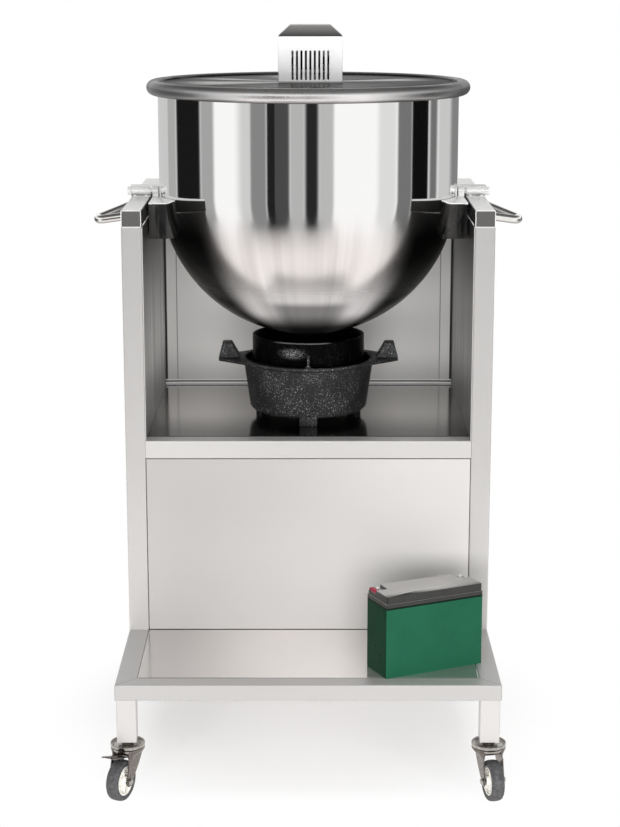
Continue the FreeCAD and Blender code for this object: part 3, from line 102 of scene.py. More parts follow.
class Wiring:
    """Adds nodes to one node tree and joins them."""

    def __init__(self, tree):
        self.tree = tree
        tree.nodes.clear()

    def put(self, socket, value):
        if isinstance(value, bpy.types.NodeSocket):
            self.tree.links.new(value, socket)
        else:
            socket.default_value = value

    def add(self, kind, settings=None, inputs=None):
        node = self.tree.nodes.new("ShaderNode" + kind)
        for key, value in (settings or {}).items():
            setattr(node, key, value)
        for key, value in (inputs or {}).items():
            self.put(node.inputs[key], value)
        return node

    def math(self, operation, a, b=0.0):
        return self.add("Math", {"operation": operation}, {0: a, 1: b}).outputs[0]

    def clamp(self, value):
        return self.add("Clamp", None, {"Value": value}).outputs[0]

    def span(self, value, start, end, low, high, smooth=True):
        """Maps start..end to low..high, held at the ends."""
        shape = {"interpolation_type": "SMOOTHSTEP" if smooth else "LINEAR"}
        return self.add("MapRange", shape, {"Value": value, "From Min": start, "From Max": end,
                                            "To Min": low, "To Max": high}).outputs[0]

    def colours(self, factor, first, second, blend="MIX"):
        node = self.add("Mix", {"data_type": "RGBA", "blend_type": blend})
        self.put(node.inputs[0], factor)
        self.put(node.inputs[6], first)
        self.put(node.inputs[7], second)
        return node.outputs[2]

    def place(self):
        """The point on the piece, in metres, which stays with the piece when it moves."""
        return self.add("TexCoord").outputs["Object"]

    def at(self, letter):
        """One coordinate of that point."""
        return self.parts(self.place())[letter]

    def outward(self, letter):
        """One part of the direction that the face looks in."""
        return self.parts(self.add("TexCoord").outputs["Normal"])[letter]

    def scaled(self, vector, factors):
        return self.add("VectorMath", {"operation": "MULTIPLY"}, {0: vector, 1: factors}).outputs[0]

    def parts(self, vector):
        return self.add("SeparateXYZ", None, {0: vector}).outputs

    def noise(self, vector, scale, detail=3.0, roughness=0.5):
        return self.add("TexNoise", None, {"Vector": vector, "Scale": scale, "Detail": detail,
                                           "Roughness": roughness}).outputs[0]

    def bump(self, height, distance, strength=1.0, under=None):
        node = self.add("Bump", None, {"Height": height, "Distance": distance, "Strength": strength})
        if under is not None:
            self.put(node.inputs["Normal"], under)
        return node.outputs[0]


def surface(name, colour, metallic=0.0, rough=0.5):
    """A material with one main shader, ready for more wiring."""
    material = bpy.data.materials.new(name)
    material.use_nodes = True
    wiring = Wiring(material.node_tree)
    shader = wiring.add("BsdfPrincipled", None, {"Base Color": (*colour, 1.0), "Metallic": metallic,
                                                 "Roughness": rough})
    output = wiring.add("OutputMaterial")
    wiring.put(output.inputs["Surface"], shader.outputs[0])
    return material, wiring, shader


# Materials

GRAIN_ACROSS = 1500.0
GRAIN_ALONG = 14.0


def toned(colour, factor):
    """The colour as a socket value, made lighter or darker."""
    return (*[min(c * factor, 1.0) for c in colour], 1.0)


def facing(w, axis, limit=0.7):
    """1 on faces whose outward side looks along the axis, such as "-Y", else 0."""
    signed = w.math("MULTIPLY", w.outward(axis[1]), 1.0 if axis[0] == "+" else -1.0)
    return w.span(signed, limit - 0.1, limit + 0.1, 0.0, 1.0)


def towards_middle(w, start, end, most):
    """Rises from 0 to most on faces that look from either side towards the middle of the machine."""
    looks = w.math("MULTIPLY", w.math("SIGN", w.at("X")), w.outward("X"))
    return w.span(looks, start, end, 0.0, most, False)


def band(w, value, low, high, soft=0.0004):
    """1 between two heights or widths, 0 outside, for a fine line or a strip."""
    return w.math("MULTIPLY", w.span(value, low - soft, low + soft, 0.0, 1.0),
                  w.span(value, high - soft, high + soft, 1.0, 0.0))


def brushed(name, colour, rough, along, metallic=0.45, cloud=0.05, grain_depth=0.000006, tint=None):
    """Satin steel with very fine polishing lines along one axis and a slow change of tone."""
    material, w, shader = surface(name, colour, metallic, rough)
    stretch = [GRAIN_ACROSS] * 3
    stretch["XYZ".index(along)] = GRAIN_ALONG
    lines = w.noise(w.scaled(w.place(), stretch), 1.0, 4.0, 0.65)
    slow = w.noise(w.place(), 2.6, 2.0, 0.5)
    fine = w.span(lines, 0.3, 0.7, 0.35, 0.65, False)
    tone = w.math("ADD", fine, w.span(slow, 0.3, 0.7, -0.3, 0.3, False))
    base = w.colours(tone, toned(colour, 1 - cloud), toned(colour, 1 + cloud))
    if tint is not None:
        base = tint(w, base)
    w.put(shader.inputs["Base Color"], base)
    w.put(shader.inputs["Roughness"], w.span(lines, 0.25, 0.75, rough - 0.04, rough + 0.05, False))
    w.put(shader.inputs["Normal"], w.bump(lines, grain_depth))
    return material


def polished(name, colour, rough, metallic=1.0, wave=0.00002, tint=None):
    """Mirror steel: a few faint smears, otherwise clear."""
    material, w, shader = surface(name, colour, metallic, rough)
    smears = w.noise(w.place(), 9.0, 4.0, 0.6)
    w.put(shader.inputs["Roughness"], w.span(smears, 0.40, 0.75, rough * 0.8, rough * 1.5, False))
    base = w.colours(w.span(smears, 0.3, 0.7, 0.0, 1.0, False), toned(colour, 0.97), toned(colour, 1.0))
    if tint is not None:
        base = tint(w, base)
    w.put(shader.inputs["Base Color"], base)
    w.put(shader.inputs["Normal"], w.bump(w.noise(w.place(), 14.0, 1.0, 0.4), wave))
    return material


def bowl_steel(name):
    """Bright mirror on the straight wall, softer on the round bottom, whose colour carries painted
    reflection: streaks, and darkening at sides and foot.
    """
    material, w, shader = surface(name, (0.93, 0.925, 0.92), 1.0, 0.05)
    x, y, z = w.parts(w.place())
    round_part = w.span(z, BOWL_CENTRE_Z - 0.085, BOWL_CENTRE_Z - 0.008, 1.0, 0.0)
    deep = w.span(z, BOWL_CENTRE_Z - 0.235, BOWL_CENTRE_Z - 0.12, 1.0, 0.0)
    angle = w.math("ARCTAN2", w.math("SUBTRACT", y, AXIS_Y), x)
    across = w.math("COSINE", angle)
    ring = w.add("CombineXYZ", None, {0: across, 1: w.math("SINE", angle)}).outputs[0]
    # Painted reflection streaks round the bottom, which also read as polishing marks.
    streaks = w.noise(ring, 7.0, 3.0, 0.6)
    warm = w.colours(w.span(streaks, 0.36, 0.62, 0.0, 1.0, False), (0.82, 0.785, 0.765, 1.0),
                     (0.98, 0.95, 0.94, 1.0))
    # Painted reflection and shade: the bottom darkens towards its sides, round its wings, at its foot and at
    # its lowest point.
    out = w.math("ABSOLUTE", across)
    sides = w.span(out, 0.52, 0.74, 1.0, 0.05)
    wings = w.span(w.math("ABSOLUTE", w.math("SUBTRACT", out, 0.50)), 0.04, 0.28, 1.0, 0.34)
    foot = w.span(z, BOWL_CENTRE_Z - 0.213, BOWL_CENTRE_Z - 0.194, 1.0, 0.0)
    tone = w.math("MULTIPLY", sides, w.colours(foot, (1.0, 1.0, 1.0, 1.0), wings))
    tone = w.math("MULTIPLY", tone, w.span(z, BOWL_CENTRE_Z - 0.266, BOWL_CENTRE_Z - 0.224, 0.06, 1.0))
    warm = w.colours(1.0, warm, tone, "MULTIPLY")
    w.put(shader.inputs["Base Color"], w.colours(round_part, (0.93, 0.925, 0.92, 1.0), warm))
    w.put(shader.inputs["Metallic"], w.span(deep, 0.0, 1.0, 1.0, 0.45, False))
    rough = w.span(round_part, 0.0, 1.0, 0.045, 0.24, False)
    w.put(shader.inputs["Roughness"], w.math("ADD", rough, w.span(deep, 0.0, 1.0, 0.0, 0.06, False)))
    w.put(shader.inputs["Normal"], w.bump(w.noise(w.place(), 11.0, 1.0, 0.4), 0.00003))
    return material


# The lid's painted highlight rays: (middle, half width), in degrees round from +X
LID_HIGHLIGHT_RAYS = ((-168, 21), (150, 9), (20, 14), (95, 22))


def spun_lid(name, colour, rough):
    """Lid steel with rings of fine lines round the middle, and painted highlight rays in its colour and
    specular tint.
    """
    material, w, shader = surface(name, colour, 1.0, rough)
    shader.inputs["Anisotropic"].default_value = 0.5
    x = w.at("X")
    from_axis = w.math("SUBTRACT", w.at("Y"), AXIS_Y)
    squares = w.math("ADD", w.math("MULTIPLY", x, x), w.math("MULTIPLY", from_axis, from_axis))
    radius = w.math("SQRT", squares)
    angle = w.math("ARCTAN2", from_axis, x)
    cosine = w.math("COSINE", angle)
    sine = w.math("SINE", angle)
    fine_highlight_rays = w.noise(w.add("CombineXYZ", None, {0: cosine, 1: sine}).outputs[0], 9.0, 3.0, 0.6)
    ring_place = w.add("CombineXYZ", None, {0: w.math("MULTIPLY", radius, 900.0)}).outputs[0]
    lines = w.noise(ring_place, 1.0, 4.0, 0.7)
    # Painted highlights: bright rays round the middle, fading out towards the edge.
    tone = w.span(fine_highlight_rays, 0.35, 0.65, 0.0, 0.16)
    for middle, half in LID_HIGHLIGHT_RAYS:
        turn = math.radians(middle)
        near = w.math("ADD", w.math("MULTIPLY", cosine, math.cos(turn)),
                      w.math("MULTIPLY", sine, math.sin(turn)))
        wedge = w.span(near, math.cos(math.radians(half)), math.cos(math.radians(half * 0.3)), 0.0, 0.75)
        tone = w.math("ADD", tone, wedge)
    tone = w.clamp(w.math("MULTIPLY", tone, w.span(radius, 0.19, 0.268, 1.0, 0.15)))
    w.put(shader.inputs["Base Color"], w.colours(tone, toned(colour, 0.30), toned(colour, 1.9)))
    w.put(shader.inputs["Specular Tint"], w.colours(tone, (0.22, 0.22, 0.22, 1.0), (0.85, 0.84, 0.83, 1.0)))
    w.put(shader.inputs["Roughness"], w.span(lines, 0.3, 0.7, rough - 0.05, rough + 0.05, False))
    w.put(shader.inputs["Normal"], w.bump(lines, 0.00001))
    tangent = w.add("Tangent", {"direction_type": "RADIAL", "axis": "Z"})
    w.put(shader.inputs["Tangent"], tangent.outputs[0])
    return material


def cover_steel(name):
    """Cover sheet: pale satin on its upright faces, with painted shade higher up; painted reflection makes
    the slopes grey, and painted shade the left one darkest.
    """
    material, w, shader = surface(name, (0.9, 0.9, 0.9), 0.12, 0.42)
    z = w.at("Z")
    sloped = facing(w, "+Z", 0.35)
    left = w.math("MULTIPLY", sloped, facing(w, "-X", 0.4))
    cloud = w.noise(w.place(), 16.0, 2.0, 0.5)
    pale = w.colours(cloud, (0.90, 0.90, 0.90, 1.0), (0.98, 0.98, 0.98, 1.0))
    # Painted shade: the upright faces grow darker above their foot.
    pale = w.colours(1.0, pale, w.span(z, cover_low.z, cover_low.z + 0.07, 1.0, 0.82), "MULTIPLY")
    # Painted reflection on the slopes, darker low down; painted shade on the left slope.
    drop = w.span(z, cover_high.z - 0.021, cover_high.z - 0.002, 0.0, 1.0, False)
    painted_slope = w.colours(drop, (0.025, 0.025, 0.024, 1.0), (0.17, 0.165, 0.16, 1.0))
    painted_slope = w.colours(left, painted_slope, (0.012, 0.012, 0.012, 1.0))
    w.put(shader.inputs["Base Color"], w.colours(sloped, pale, painted_slope))
    w.put(shader.inputs["Roughness"], w.span(sloped, 0.0, 1.0, 0.42, 0.24, False))
    return material


def wall_steel(name, colour, inner_colour, rough, inner_rough):
    """Side wall steel: satin outside; towards the bowl, painted shade that grows darker the higher up it is,
    with painted reflection streaks.
    """
    material, w, shader = surface(name, colour, 0.6, rough)
    z = w.at("Z")
    inward = towards_middle(w, -0.2, -0.6, 1.0)
    stripes = w.noise(w.scaled(w.place(), (1.0, 24.0, 1.0)), 1.0, 3.0, 0.6)
    # Painted shade on the faces towards the bowl: darker higher up, near the shelf and on the right wall,
    # streaked with painted reflection.
    height = w.span(z, SHELF_TOP + 0.12, SHELF_TOP + 0.38, 1.0, 0.04)
    foot = w.span(z, SHELF_TOP, SHELF_TOP + 0.14, 0.25, 1.0)
    shade = w.math("MULTIPLY", height, foot)
    shade = w.math("MULTIPLY", shade, w.span(stripes, 0.35, 0.65, 0.55, 1.15, False))
    shade = w.math("MULTIPLY", shade, w.span(w.at("X"), -0.1, 0.1, 1.0, 0.42))
    inner = w.colours(w.clamp(shade), toned(inner_colour, 0.05), toned(inner_colour, 1.0))
    w.put(shader.inputs["Base Color"], w.colours(inward, toned(colour, 1.0), inner))
    w.put(shader.inputs["Roughness"], w.span(inward, 0.0, 1.0, rough, inner_rough, False))
    return material


def darker_up(w, base):
    """Painted shade: the uprights grow a little darker towards the top."""
    tone = w.span(w.at("Z"), SHELF_TOP - 0.25, RAIL_TOP - 0.05, 1.0, 0.70, False)
    return w.colours(1.0, base, tone, "MULTIPLY")


def darker_ends(w, base):
    """Painted shade: the tray sheet is brightest in its middle and darker towards its ends."""
    return w.colours(1.0, base, w.span(w.math("ABSOLUTE", w.at("X")), 0.05, 0.28, 1.0, 0.66), "MULTIPLY")


def dark_inside(w, base):
    """Painted shade on the top rails' faces towards the bowl, which see only the dark gap."""
    return w.colours(towards_middle(w, -0.4, -0.7, 0.97), base, (0.012, 0.012, 0.011, 1.0))


def shelf_tone(w, base):
    """Painted reflection on the shelf: dark at its front edge, pale further back, most at the left."""
    back = w.span(w.at("Y"), SHELF_FRONT + 0.02, SHELF_FRONT + 0.22, 0.20, 1.0)
    side = w.span(w.at("X"), -0.26, 0.05, 1.0, 0.80)
    return w.colours(1.0, w.colours(1.0, base, back, "MULTIPLY"), side, "MULTIPLY")


def rim_tone(w, base):
    """Painted reflection on the rim: brightest on the front's lower half, greyer on top, dark below and
    towards the bowl's sides.
    """
    up = w.math("DIVIDE", w.math("SUBTRACT", w.at("Z"), RIM_Z), RIM_TUBE)
    ends = w.span(w.math("ABSOLUTE", w.at("X")), 0.10, 0.29, 1.0, 0.13, False)
    tone = w.math("MULTIPLY", w.span(up, -0.92, -0.66, 0.10, 1.0), w.span(up, 0.0, 0.75, 1.0, 0.50))
    return w.colours(1.0, base, w.math("MULTIPLY", tone, ends), "MULTIPLY")


def panel_tone(w, base):
    """The access panel takes less light towards its left end and its top."""
    side = w.span(w.at("X"), -0.27, 0.26, 0.74, 1.0)
    tone = w.math("MULTIPLY", side, w.span(w.at("Z"), 0.26, 0.52, 1.0, 0.88))
    return w.colours(1.0, base, tone, "MULTIPLY")


# The back panel's strip, where painted shade lines go: its outer corner line and its inner edge, from the
# middle of the machine
CORNER_LINE = (0.3062, 0.3106)
STRIP_EDGE = (0.2836, 0.2856)


def back_lines(w, base):
    """Painted light and shade on the back panel: a dark corner line, the strip's edge, a bright-dark-bright
    foot.
    """
    side = w.math("ABSOLUTE", w.at("X"))
    above = w.math("SUBTRACT", w.at("Z"), SHELF_TOP)
    # Painted shade just above the shelf.
    base = w.colours(w.span(above, 0.0, 0.10, 0.40, 0.0), base, (0.30, 0.29, 0.285, 1.0))
    for value, low, high, tone in ((side, *CORNER_LINE, 0.04), (side, *STRIP_EDGE, 0.40),
                                   (above, -0.001, 0.0034, 1.0), (above, 0.0036, 0.0064, 0.06),
                                   (above, 0.0066, 0.0092, 1.0)):
        base = w.colours(band(w, value, low, high), base, (tone, tone, tone, 1.0))
    return base


def mitre_lines(w, base):
    """The welded mitres at the tray frame's corners, as fine dark lines across them."""
    out = w.math("SUBTRACT", w.math("ABSOLUTE", w.at("X")), INNER_HALF)
    for edge, side in ((TRAY_SHEET_LOW.y, -1.0), (TRAY_SHEET_HIGH.y, 1.0)):
        beyond = w.math("MULTIPLY", w.math("SUBTRACT", w.at("Y"), edge), side)
        off = w.math("ABSOLUTE", w.math("SUBTRACT", out, beyond))
        line = w.math("MULTIPLY", w.span(off, 0.0003, 0.0010, 0.75, 0.0),
                      w.span(beyond, 0.0, 0.001, 0.0, 1.0))
        base = w.colours(line, base, (0.06, 0.06, 0.06, 1.0))
    return base


def dark_below(w, base):
    """Painted shade: leaves the parts above the rails bright and darkens the lug's upright faces below them,
    with faint painted reflection streaks.
    """
    below = w.math("MULTIPLY", w.span(w.at("Z"), RAIL_TOP - 0.0035, RAIL_TOP - 0.0015, 1.0, 0.0),
                   w.math("SUBTRACT", 1.0, facing(w, "+Z", 0.5)))
    streaks = w.noise(w.scaled(w.place(), (60.0, 60.0, 6.0)), 1.0, 3.0, 0.6)
    dark = w.colours(w.span(streaks, 0.4, 0.62, 0.0, 1.0), (0.006, 0.006, 0.006, 1.0),
                     (0.05, 0.048, 0.046, 1.0))
    return w.colours(below, base, dark)


def handle_tone(w, base):
    """Painted shade: darkens the handles' outer ends and undersides."""
    base = w.colours(w.span(w.outward("Z"), -0.95, -0.35, 0.75, 0.0), base, (0.10, 0.10, 0.10, 1.0))
    ends = w.span(w.math("ABSOLUTE", w.outward("X")), 0.70, 0.92, 0.0, 0.96)
    return w.colours(ends, base, (0.02, 0.02, 0.02, 1.0))


def painted_sheen_top(w, base):
    """Painted sheen: the battery lid's flat top, made grey where it catches the light."""
    return w.colours(facing(w, "+Z", 0.8), base, (0.38, 0.37, 0.355, 1.0))


def joint_shadow_and_shaded_end(w, base):
    """The dark joint under the battery's lid, with its painted shadow, and painted shade on the left end."""
    joint = w.span(w.at("Z"), CASE_TOP - 0.0042, CASE_TOP - 0.0030, 0.0, 0.93)
    # Painted shade: the left end is turned from the light.
    end = w.span(w.outward("X"), -0.75, -0.55, 0.85, 0.0)
    base = w.colours(end, base, (0.001, 0.020, 0.008, 1.0))
    return w.colours(joint, base, (0.004, 0.006, 0.005, 1.0))


def cast_iron(name, base_tone=1.0, metallic=0.55, tint=None):
    """Dark cast iron, grainy all over, with pits and small bright flecks on the grains as painted glints."""
    material, w, shader = surface(name, (0.03, 0.03, 0.031), metallic, 0.42)
    shader.inputs["Specular IOR Level"].default_value = 0.25
    grain = w.noise(w.place(), 360.0, 3.0, 0.7)
    patches = w.noise(w.place(), 17.0, 2.0, 0.5)
    pits = w.noise(w.place(), 150.0, 3.0, 0.6)
    painted_glints = w.math("MULTIPLY", w.span(grain, 0.58, 0.64, 0.0, 1.0), w.span(patches, 0.40, 0.62, 0.2, 1.0))
    base = w.colours(w.span(patches, 0.35, 0.65, 0.0, 1.0), toned((0.058, 0.058, 0.059), base_tone),
                     toned((0.074, 0.074, 0.076), base_tone))
    base = w.colours(painted_glints, base, toned((0.90, 0.90, 0.91), base_tone))
    if tint is not None:
        base = tint(w, base)
    w.put(shader.inputs["Base Color"], base)
    w.put(shader.inputs["Roughness"], w.span(painted_glints, 0.0, 1.0, 0.44, 0.24, False))
    rough_face = w.bump(grain, 0.0006)
    w.put(shader.inputs["Normal"], w.bump(w.span(pits, 0.30, 0.40, 0.0, 1.0), 0.0008, 1.0, rough_face))
    return material


def painted_ring_highlights(w, base):
    """Painted highlights on the inner ring: its top front edge and a grainy patch left of the middle."""
    x, y, z = w.parts(w.place())
    edge = w.math("MULTIPLY", w.span(z, RING_TOP - 0.0030, RING_TOP - 0.0012, 0.0, 1.0),
                  w.span(w.math("ABSOLUTE", w.math("ADD", x, 0.012)), 0.040, 0.062, 1.0, 0.0))
    front = w.span(y, AXIS_Y - 0.07, AXIS_Y - 0.03, 1.0, 0.0)
    grain = w.noise(w.place(), 420.0, 3.0, 0.7)
    across = w.math("DIVIDE", w.math("ADD", x, 0.031), 0.026)
    up = w.math("DIVIDE", w.math("SUBTRACT", z, RING_TOP - 0.022), 0.011)
    out = w.math("SQRT", w.math("ADD", w.math("MULTIPLY", across, across), w.math("MULTIPLY", up, up)))
    patch = w.math("MULTIPLY", w.span(out, 0.0, 1.3, 1.0, 0.0), w.span(grain, 0.44, 0.60, 0.0, 1.0))
    base = w.colours(w.math("MULTIPLY", patch, front), base, (0.50, 0.50, 0.51, 1.0))
    return w.colours(w.math("MULTIPLY", edge, front), base, (0.26, 0.255, 0.25, 1.0))


def plastic(name, colour, rough, mottle=0.12, grain=700.0, depth=0.00005, shine=0.5, tint=None):
    material, w, shader = surface(name, colour, 0.0, rough)
    shader.inputs["Specular IOR Level"].default_value = shine
    fine = w.noise(w.place(), grain, 3.0, 0.6)
    slow = w.noise(w.place(), 22.0, 3.0, 0.55)
    base = w.colours(w.span(slow, 0.3, 0.7, 0.0, 1.0, False), toned(colour, 1 - mottle),
                     toned(colour, 1 + mottle))
    if tint is not None:
        base = tint(w, base)
    w.put(shader.inputs["Base Color"], base)
    w.put(shader.inputs["Roughness"], w.span(slow, 0.3, 0.7, rough - 0.05, rough + 0.07, False))
    w.put(shader.inputs["Normal"], w.bump(fine, depth))
    return material


def plated(name, colour, rough, dark=0.62):
    """Zinc plate on pressed steel: mottled, with darker patches."""
    material, w, shader = surface(name, colour, 1.0, rough)
    spots = w.noise(w.place(), 150.0, 4.0, 0.65)
    base = w.colours(w.span(spots, 0.35, 0.65, 0.0, 1.0, False), toned(colour, dark), toned(colour, 1.0))
    w.put(shader.inputs["Base Color"], base)
    w.put(shader.inputs["Roughness"], w.span(spots, 0.3, 0.7, rough + 0.12, rough - 0.04, False))
    w.put(shader.inputs["Normal"], w.bump(spots, 0.00006))
    return material


def rubber(name):
    material, w, shader = surface(name, (0.045, 0.045, 0.048), 0.0, 0.55)
    dust = w.noise(w.place(), 160.0, 4.0, 0.65)
    w.put(shader.inputs["Base Color"], w.colours(w.span(dust, 0.35, 0.75, 0.0, 1.0, False),
                                                 (0.038, 0.038, 0.041, 1.0), (0.10, 0.10, 0.102, 1.0)))
    w.put(shader.inputs["Normal"], w.bump(dust, 0.0002))
    return material


MATERIALS = {
    "post": brushed("post_steel", (0.56, 0.546, 0.535), 0.34, "Z", tint=darker_up),
    "rail_x": brushed("rail_steel_across", (0.585, 0.572, 0.56), 0.34, "X"),
    "base_rail": brushed("base_rail_steel", (0.46, 0.45, 0.442), 0.36, "X", tint=mitre_lines),
    "rail_y": brushed("rail_steel_along", (0.74, 0.735, 0.725), 0.32, "Y", tint=dark_inside),
    "lug": polished("lug_steel", (0.92, 0.92, 0.91), 0.22, metallic=0.4, tint=dark_below),
    "panel": brushed("panel_steel", (0.73, 0.705, 0.69), 0.42, "X", metallic=0.45, tint=panel_tone),
    "back": brushed("back_panel_steel", (0.98, 0.95, 0.93), 0.40, "Z", metallic=0.6, tint=back_lines),
    "shelf": brushed("shelf_steel", (0.52, 0.50, 0.48), 0.14, "X", metallic=1.0, cloud=0.10,
                     tint=shelf_tone),
    "tray": brushed("tray_steel", (0.93, 0.90, 0.88), 0.15, "X", metallic=0.85, cloud=0.06,
                    tint=darker_ends),
    "wall": wall_steel("wall_steel", (0.68, 0.665, 0.65), (0.86, 0.84, 0.82), 0.36, 0.32),
    "cap": brushed("cap_steel", (0.10, 0.097, 0.094), 0.34, "X"),
    "handle": polished("handle_steel", (0.97, 0.95, 0.93), 0.20, tint=handle_tone),
    "bowl": bowl_steel("bowl_steel"),
    "rim": polished("rim_steel", (0.84, 0.825, 0.82), 0.30, metallic=0.9, tint=rim_tone),
    "lid": spun_lid("lid_steel", (0.36, 0.355, 0.35), 0.26),
    "cover": cover_steel("cover_steel"),
    "plain": brushed("plain_steel", (0.45, 0.44, 0.43), 0.35, "X"),
    "paddle": polished("paddle_steel", (0.70, 0.70, 0.69), 0.18),
    "gear": brushed("gear_steel", (0.45, 0.45, 0.45), 0.32, "Z", metallic=1.0),
    "iron": cast_iron("cast_iron", 0.55),
    # The inner ring's iron is made near black as painted shade, since it sits in a dark recess.
    "iron_dark": cast_iron("cast_iron_shaded", 0.05, 0.9, painted_ring_highlights),
    "zinc": plated("caster_plate", (0.27, 0.245, 0.225), 0.24),
    "bright": plated("caster_bright", (0.56, 0.54, 0.51), 0.18, 0.7),
    "hub": plastic("hub_plastic", (0.84, 0.82, 0.77), 0.42),
    "tyre": rubber("tyre_rubber"),
    "black": plastic("black_plastic", (0.03, 0.03, 0.03), 0.45),
    "green": plastic("battery_green", (0.0125, 0.080, 0.044), 0.30, mottle=0.06, grain=300.0, depth=0.00003,
                     shine=0.04, tint=joint_shadow_and_shaded_end),
    "lid_black": plastic("battery_lid_black", (0.022, 0.022, 0.021), 0.34, mottle=0.12, shine=0.4,
                         tint=painted_sheen_top),
    "red": plastic("terminal_red", (0.30, 0.015, 0.04), 0.4, shine=0.2),
    "tab": brushed("tab_metal", (0.85, 0.84, 0.82), 0.2, "Z"),
    "brass": plated("brass_metal", (0.20, 0.15, 0.09), 0.35),
    "grey_rubber": plastic("gasket_rubber", (0.30, 0.30, 0.29), 0.6),
    "white": plastic("scraper_white", (0.78, 0.78, 0.76), 0.4, mottle=0.03),
    "motor": plastic("motor_paint", (0.01, 0.01, 0.011), 0.6),
}

NODE_MATERIALS = {
    "post": ["legs", "front_posts", "rear_posts"],
    "rail_x": ["shelf_rails"],
    "base_rail": ["base_rails"],
    "rail_y": ["top_rails"],
    "lug": ["left_pivot_bearing", "right_pivot_bearing", "left_trunnion", "right_trunnion"],
    "panel": ["front_access_panel", "lower_back_panel", "lower_side_panels"],
    "back": ["back_panel"],
    "shelf": ["shelf_sheet"],
    "tray": ["tray_sheet"],
    "wall": ["upper_side_panels"],
    "cap": ["rail_end_caps"],
    "handle": ["left_handle", "right_handle"],
    "bowl": ["bowl_shell"],
    "rim": ["bowl_rim"],
    "lid": ["lid_plate"],
    "cover": ["motor_cover"],
    "plain": ["motor_base", "motor_bridge", "panel_clips"],
    "paddle": ["anchor_paddle", "stirrer_shaft"],
    "gear": ["motor_pinion", "drive_gear"],
    "iron": ["burner_body"],
    "iron_dark": ["burner_ring"],
    "zinc": ["caster_stems", "front_left_fork", "front_right_fork", "rear_left_fork", "rear_right_fork",
             "front_left_pedal", "rear_right_pedal"],
    "hub": ["front_left_hub", "front_right_hub", "rear_left_hub", "rear_right_hub"],
    "tyre": ["front_left_tyre", "front_right_tyre", "rear_left_tyre", "rear_right_tyre"],
    "black": ["leg_plugs", "power_socket", "switch_rocker"],
    "green": ["battery_case"],
    "lid_black": ["battery_lid"],
    "red": ["gas_lever"],
    "tab": ["battery_terminals"],
    "brass": ["gas_pipe", "shaft_bearing"],
    "grey_rubber": ["lid_gasket"],
    "white": ["scraper_blades"],
    "motor": ["motor_body"],
}

for kind, names in NODE_MATERIALS.items():
    for name in names:
        nodes[name].data.materials.clear()
        nodes[name].data.materials.append(MATERIALS[kind])


# Mesh helpers

SMOOTH_ANGLE = math.radians(32)
SMOOTH_ROUNDED = math.radians(50)
FOLD_ANGLE = math.radians(25)


def finish_mesh(mesh, material, body, replaced=(), smooth=SMOOTH_ANGLE):
    """Makes the piece from its mesh, smooths it except at sharp edges, and hangs it on its body."""
    for polygon in mesh.polygons:
        polygon.use_smooth = True
    if smooth is not None:
        mesh.set_sharp_from_angle(angle=smooth)
    if material:
        mesh.materials.clear()
        mesh.materials.append(MATERIALS[material])
    piece = bpy.data.objects.new(mesh.name, mesh)
    bpy.context.scene.collection.objects.link(piece)
    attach(piece, body)
    if replaced:
        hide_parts(*replaced)
    return piece


def mesh_from(name, points, faces):
    mesh = bpy.data.meshes.new(name)
    mesh.from_pydata([tuple(point) for point in points], [], faces)
    mesh.update()
    return mesh


def grid_faces(rows, columns):
    """Faces between rows of points, each row with the same number of columns."""
    return [(start, start + 1, start + columns + 1, start + columns)
            for row in range(rows - 1) for start in range(row * columns, row * columns + columns - 1)]


def lathe_mesh(name, profile, centre=(0.0, 0.0), segments=192, closed=True):
    """Turns a list of (radius, height) about the upright line at centre. A radius of 0 makes one point."""
    points = []
    rows = []
    for radius, height in profile:
        if radius == 0:
            rows.append([len(points)])
            points.append((centre[0], centre[1], height))
            continue
        row = []
        for step in range(segments):
            angle = 2 * math.pi * step / segments
            row.append(len(points))
            points.append((centre[0] + radius * math.cos(angle), centre[1] + radius * math.sin(angle),
                           height))
        rows.append(row)
    faces = []
    pairs = list(zip(rows, rows[1:] + rows[:1])) if closed else list(zip(rows, rows[1:]))
    for low, high in pairs:
        if len(low) == 1 and len(high) == 1:
            continue
        for step in range(segments):
            following = (step + 1) % segments
            if len(low) == 1:
                faces.append((low[0], high[following], high[step]))
            elif len(high) == 1:
                faces.append((low[step], low[following], high[0]))
            else:
                faces.append((low[step], low[following], high[following], high[step]))
    return mesh_from(name, points, faces)


def along_axis(mesh, origin, axis):
    """Lays a mesh turned about +Z along another axis, with its zero height at origin."""
    turn = Vector((0, 0, 1)).rotation_difference(Vector(axis)).to_matrix().to_4x4()
    mesh.transform(Matrix.Translation(origin) @ turn)
    return mesh


def arc(centre_radius, centre_height, size, start_deg, end_deg, steps):
    """Points of a circle arc in the (radius, height) plane, angles from the outward radius."""
    made = []
    for step in range(steps + 1):
        angle = math.radians(start_deg + (end_deg - start_deg) * step / steps)
        made.append((centre_radius + size * math.cos(angle), centre_height + size * math.sin(angle)))
    return made


def joined(name, meshes):
    """One mesh from several, each keeping its own material."""
    bm = bmesh.new()
    materials = []
    for mesh in meshes:
        before = len(bm.faces)
        bm.from_mesh(mesh)
        bm.faces.ensure_lookup_table()
        kind = mesh.materials[0]
        if kind not in materials:
            materials.append(kind)
        for face in bm.faces[before:]:
            face.material_index = materials.index(kind)
        bpy.data.meshes.remove(mesh)
    bmesh.ops.recalc_face_normals(bm, faces=bm.faces)
    whole = bpy.data.meshes.new(name)
    bm.to_mesh(whole)
    bm.free()
    for kind in materials:
        whole.materials.append(kind)
    return whole


def made_of(mesh, material):
    mesh.materials.clear()
    mesh.materials.append(MATERIALS[material])
    return mesh


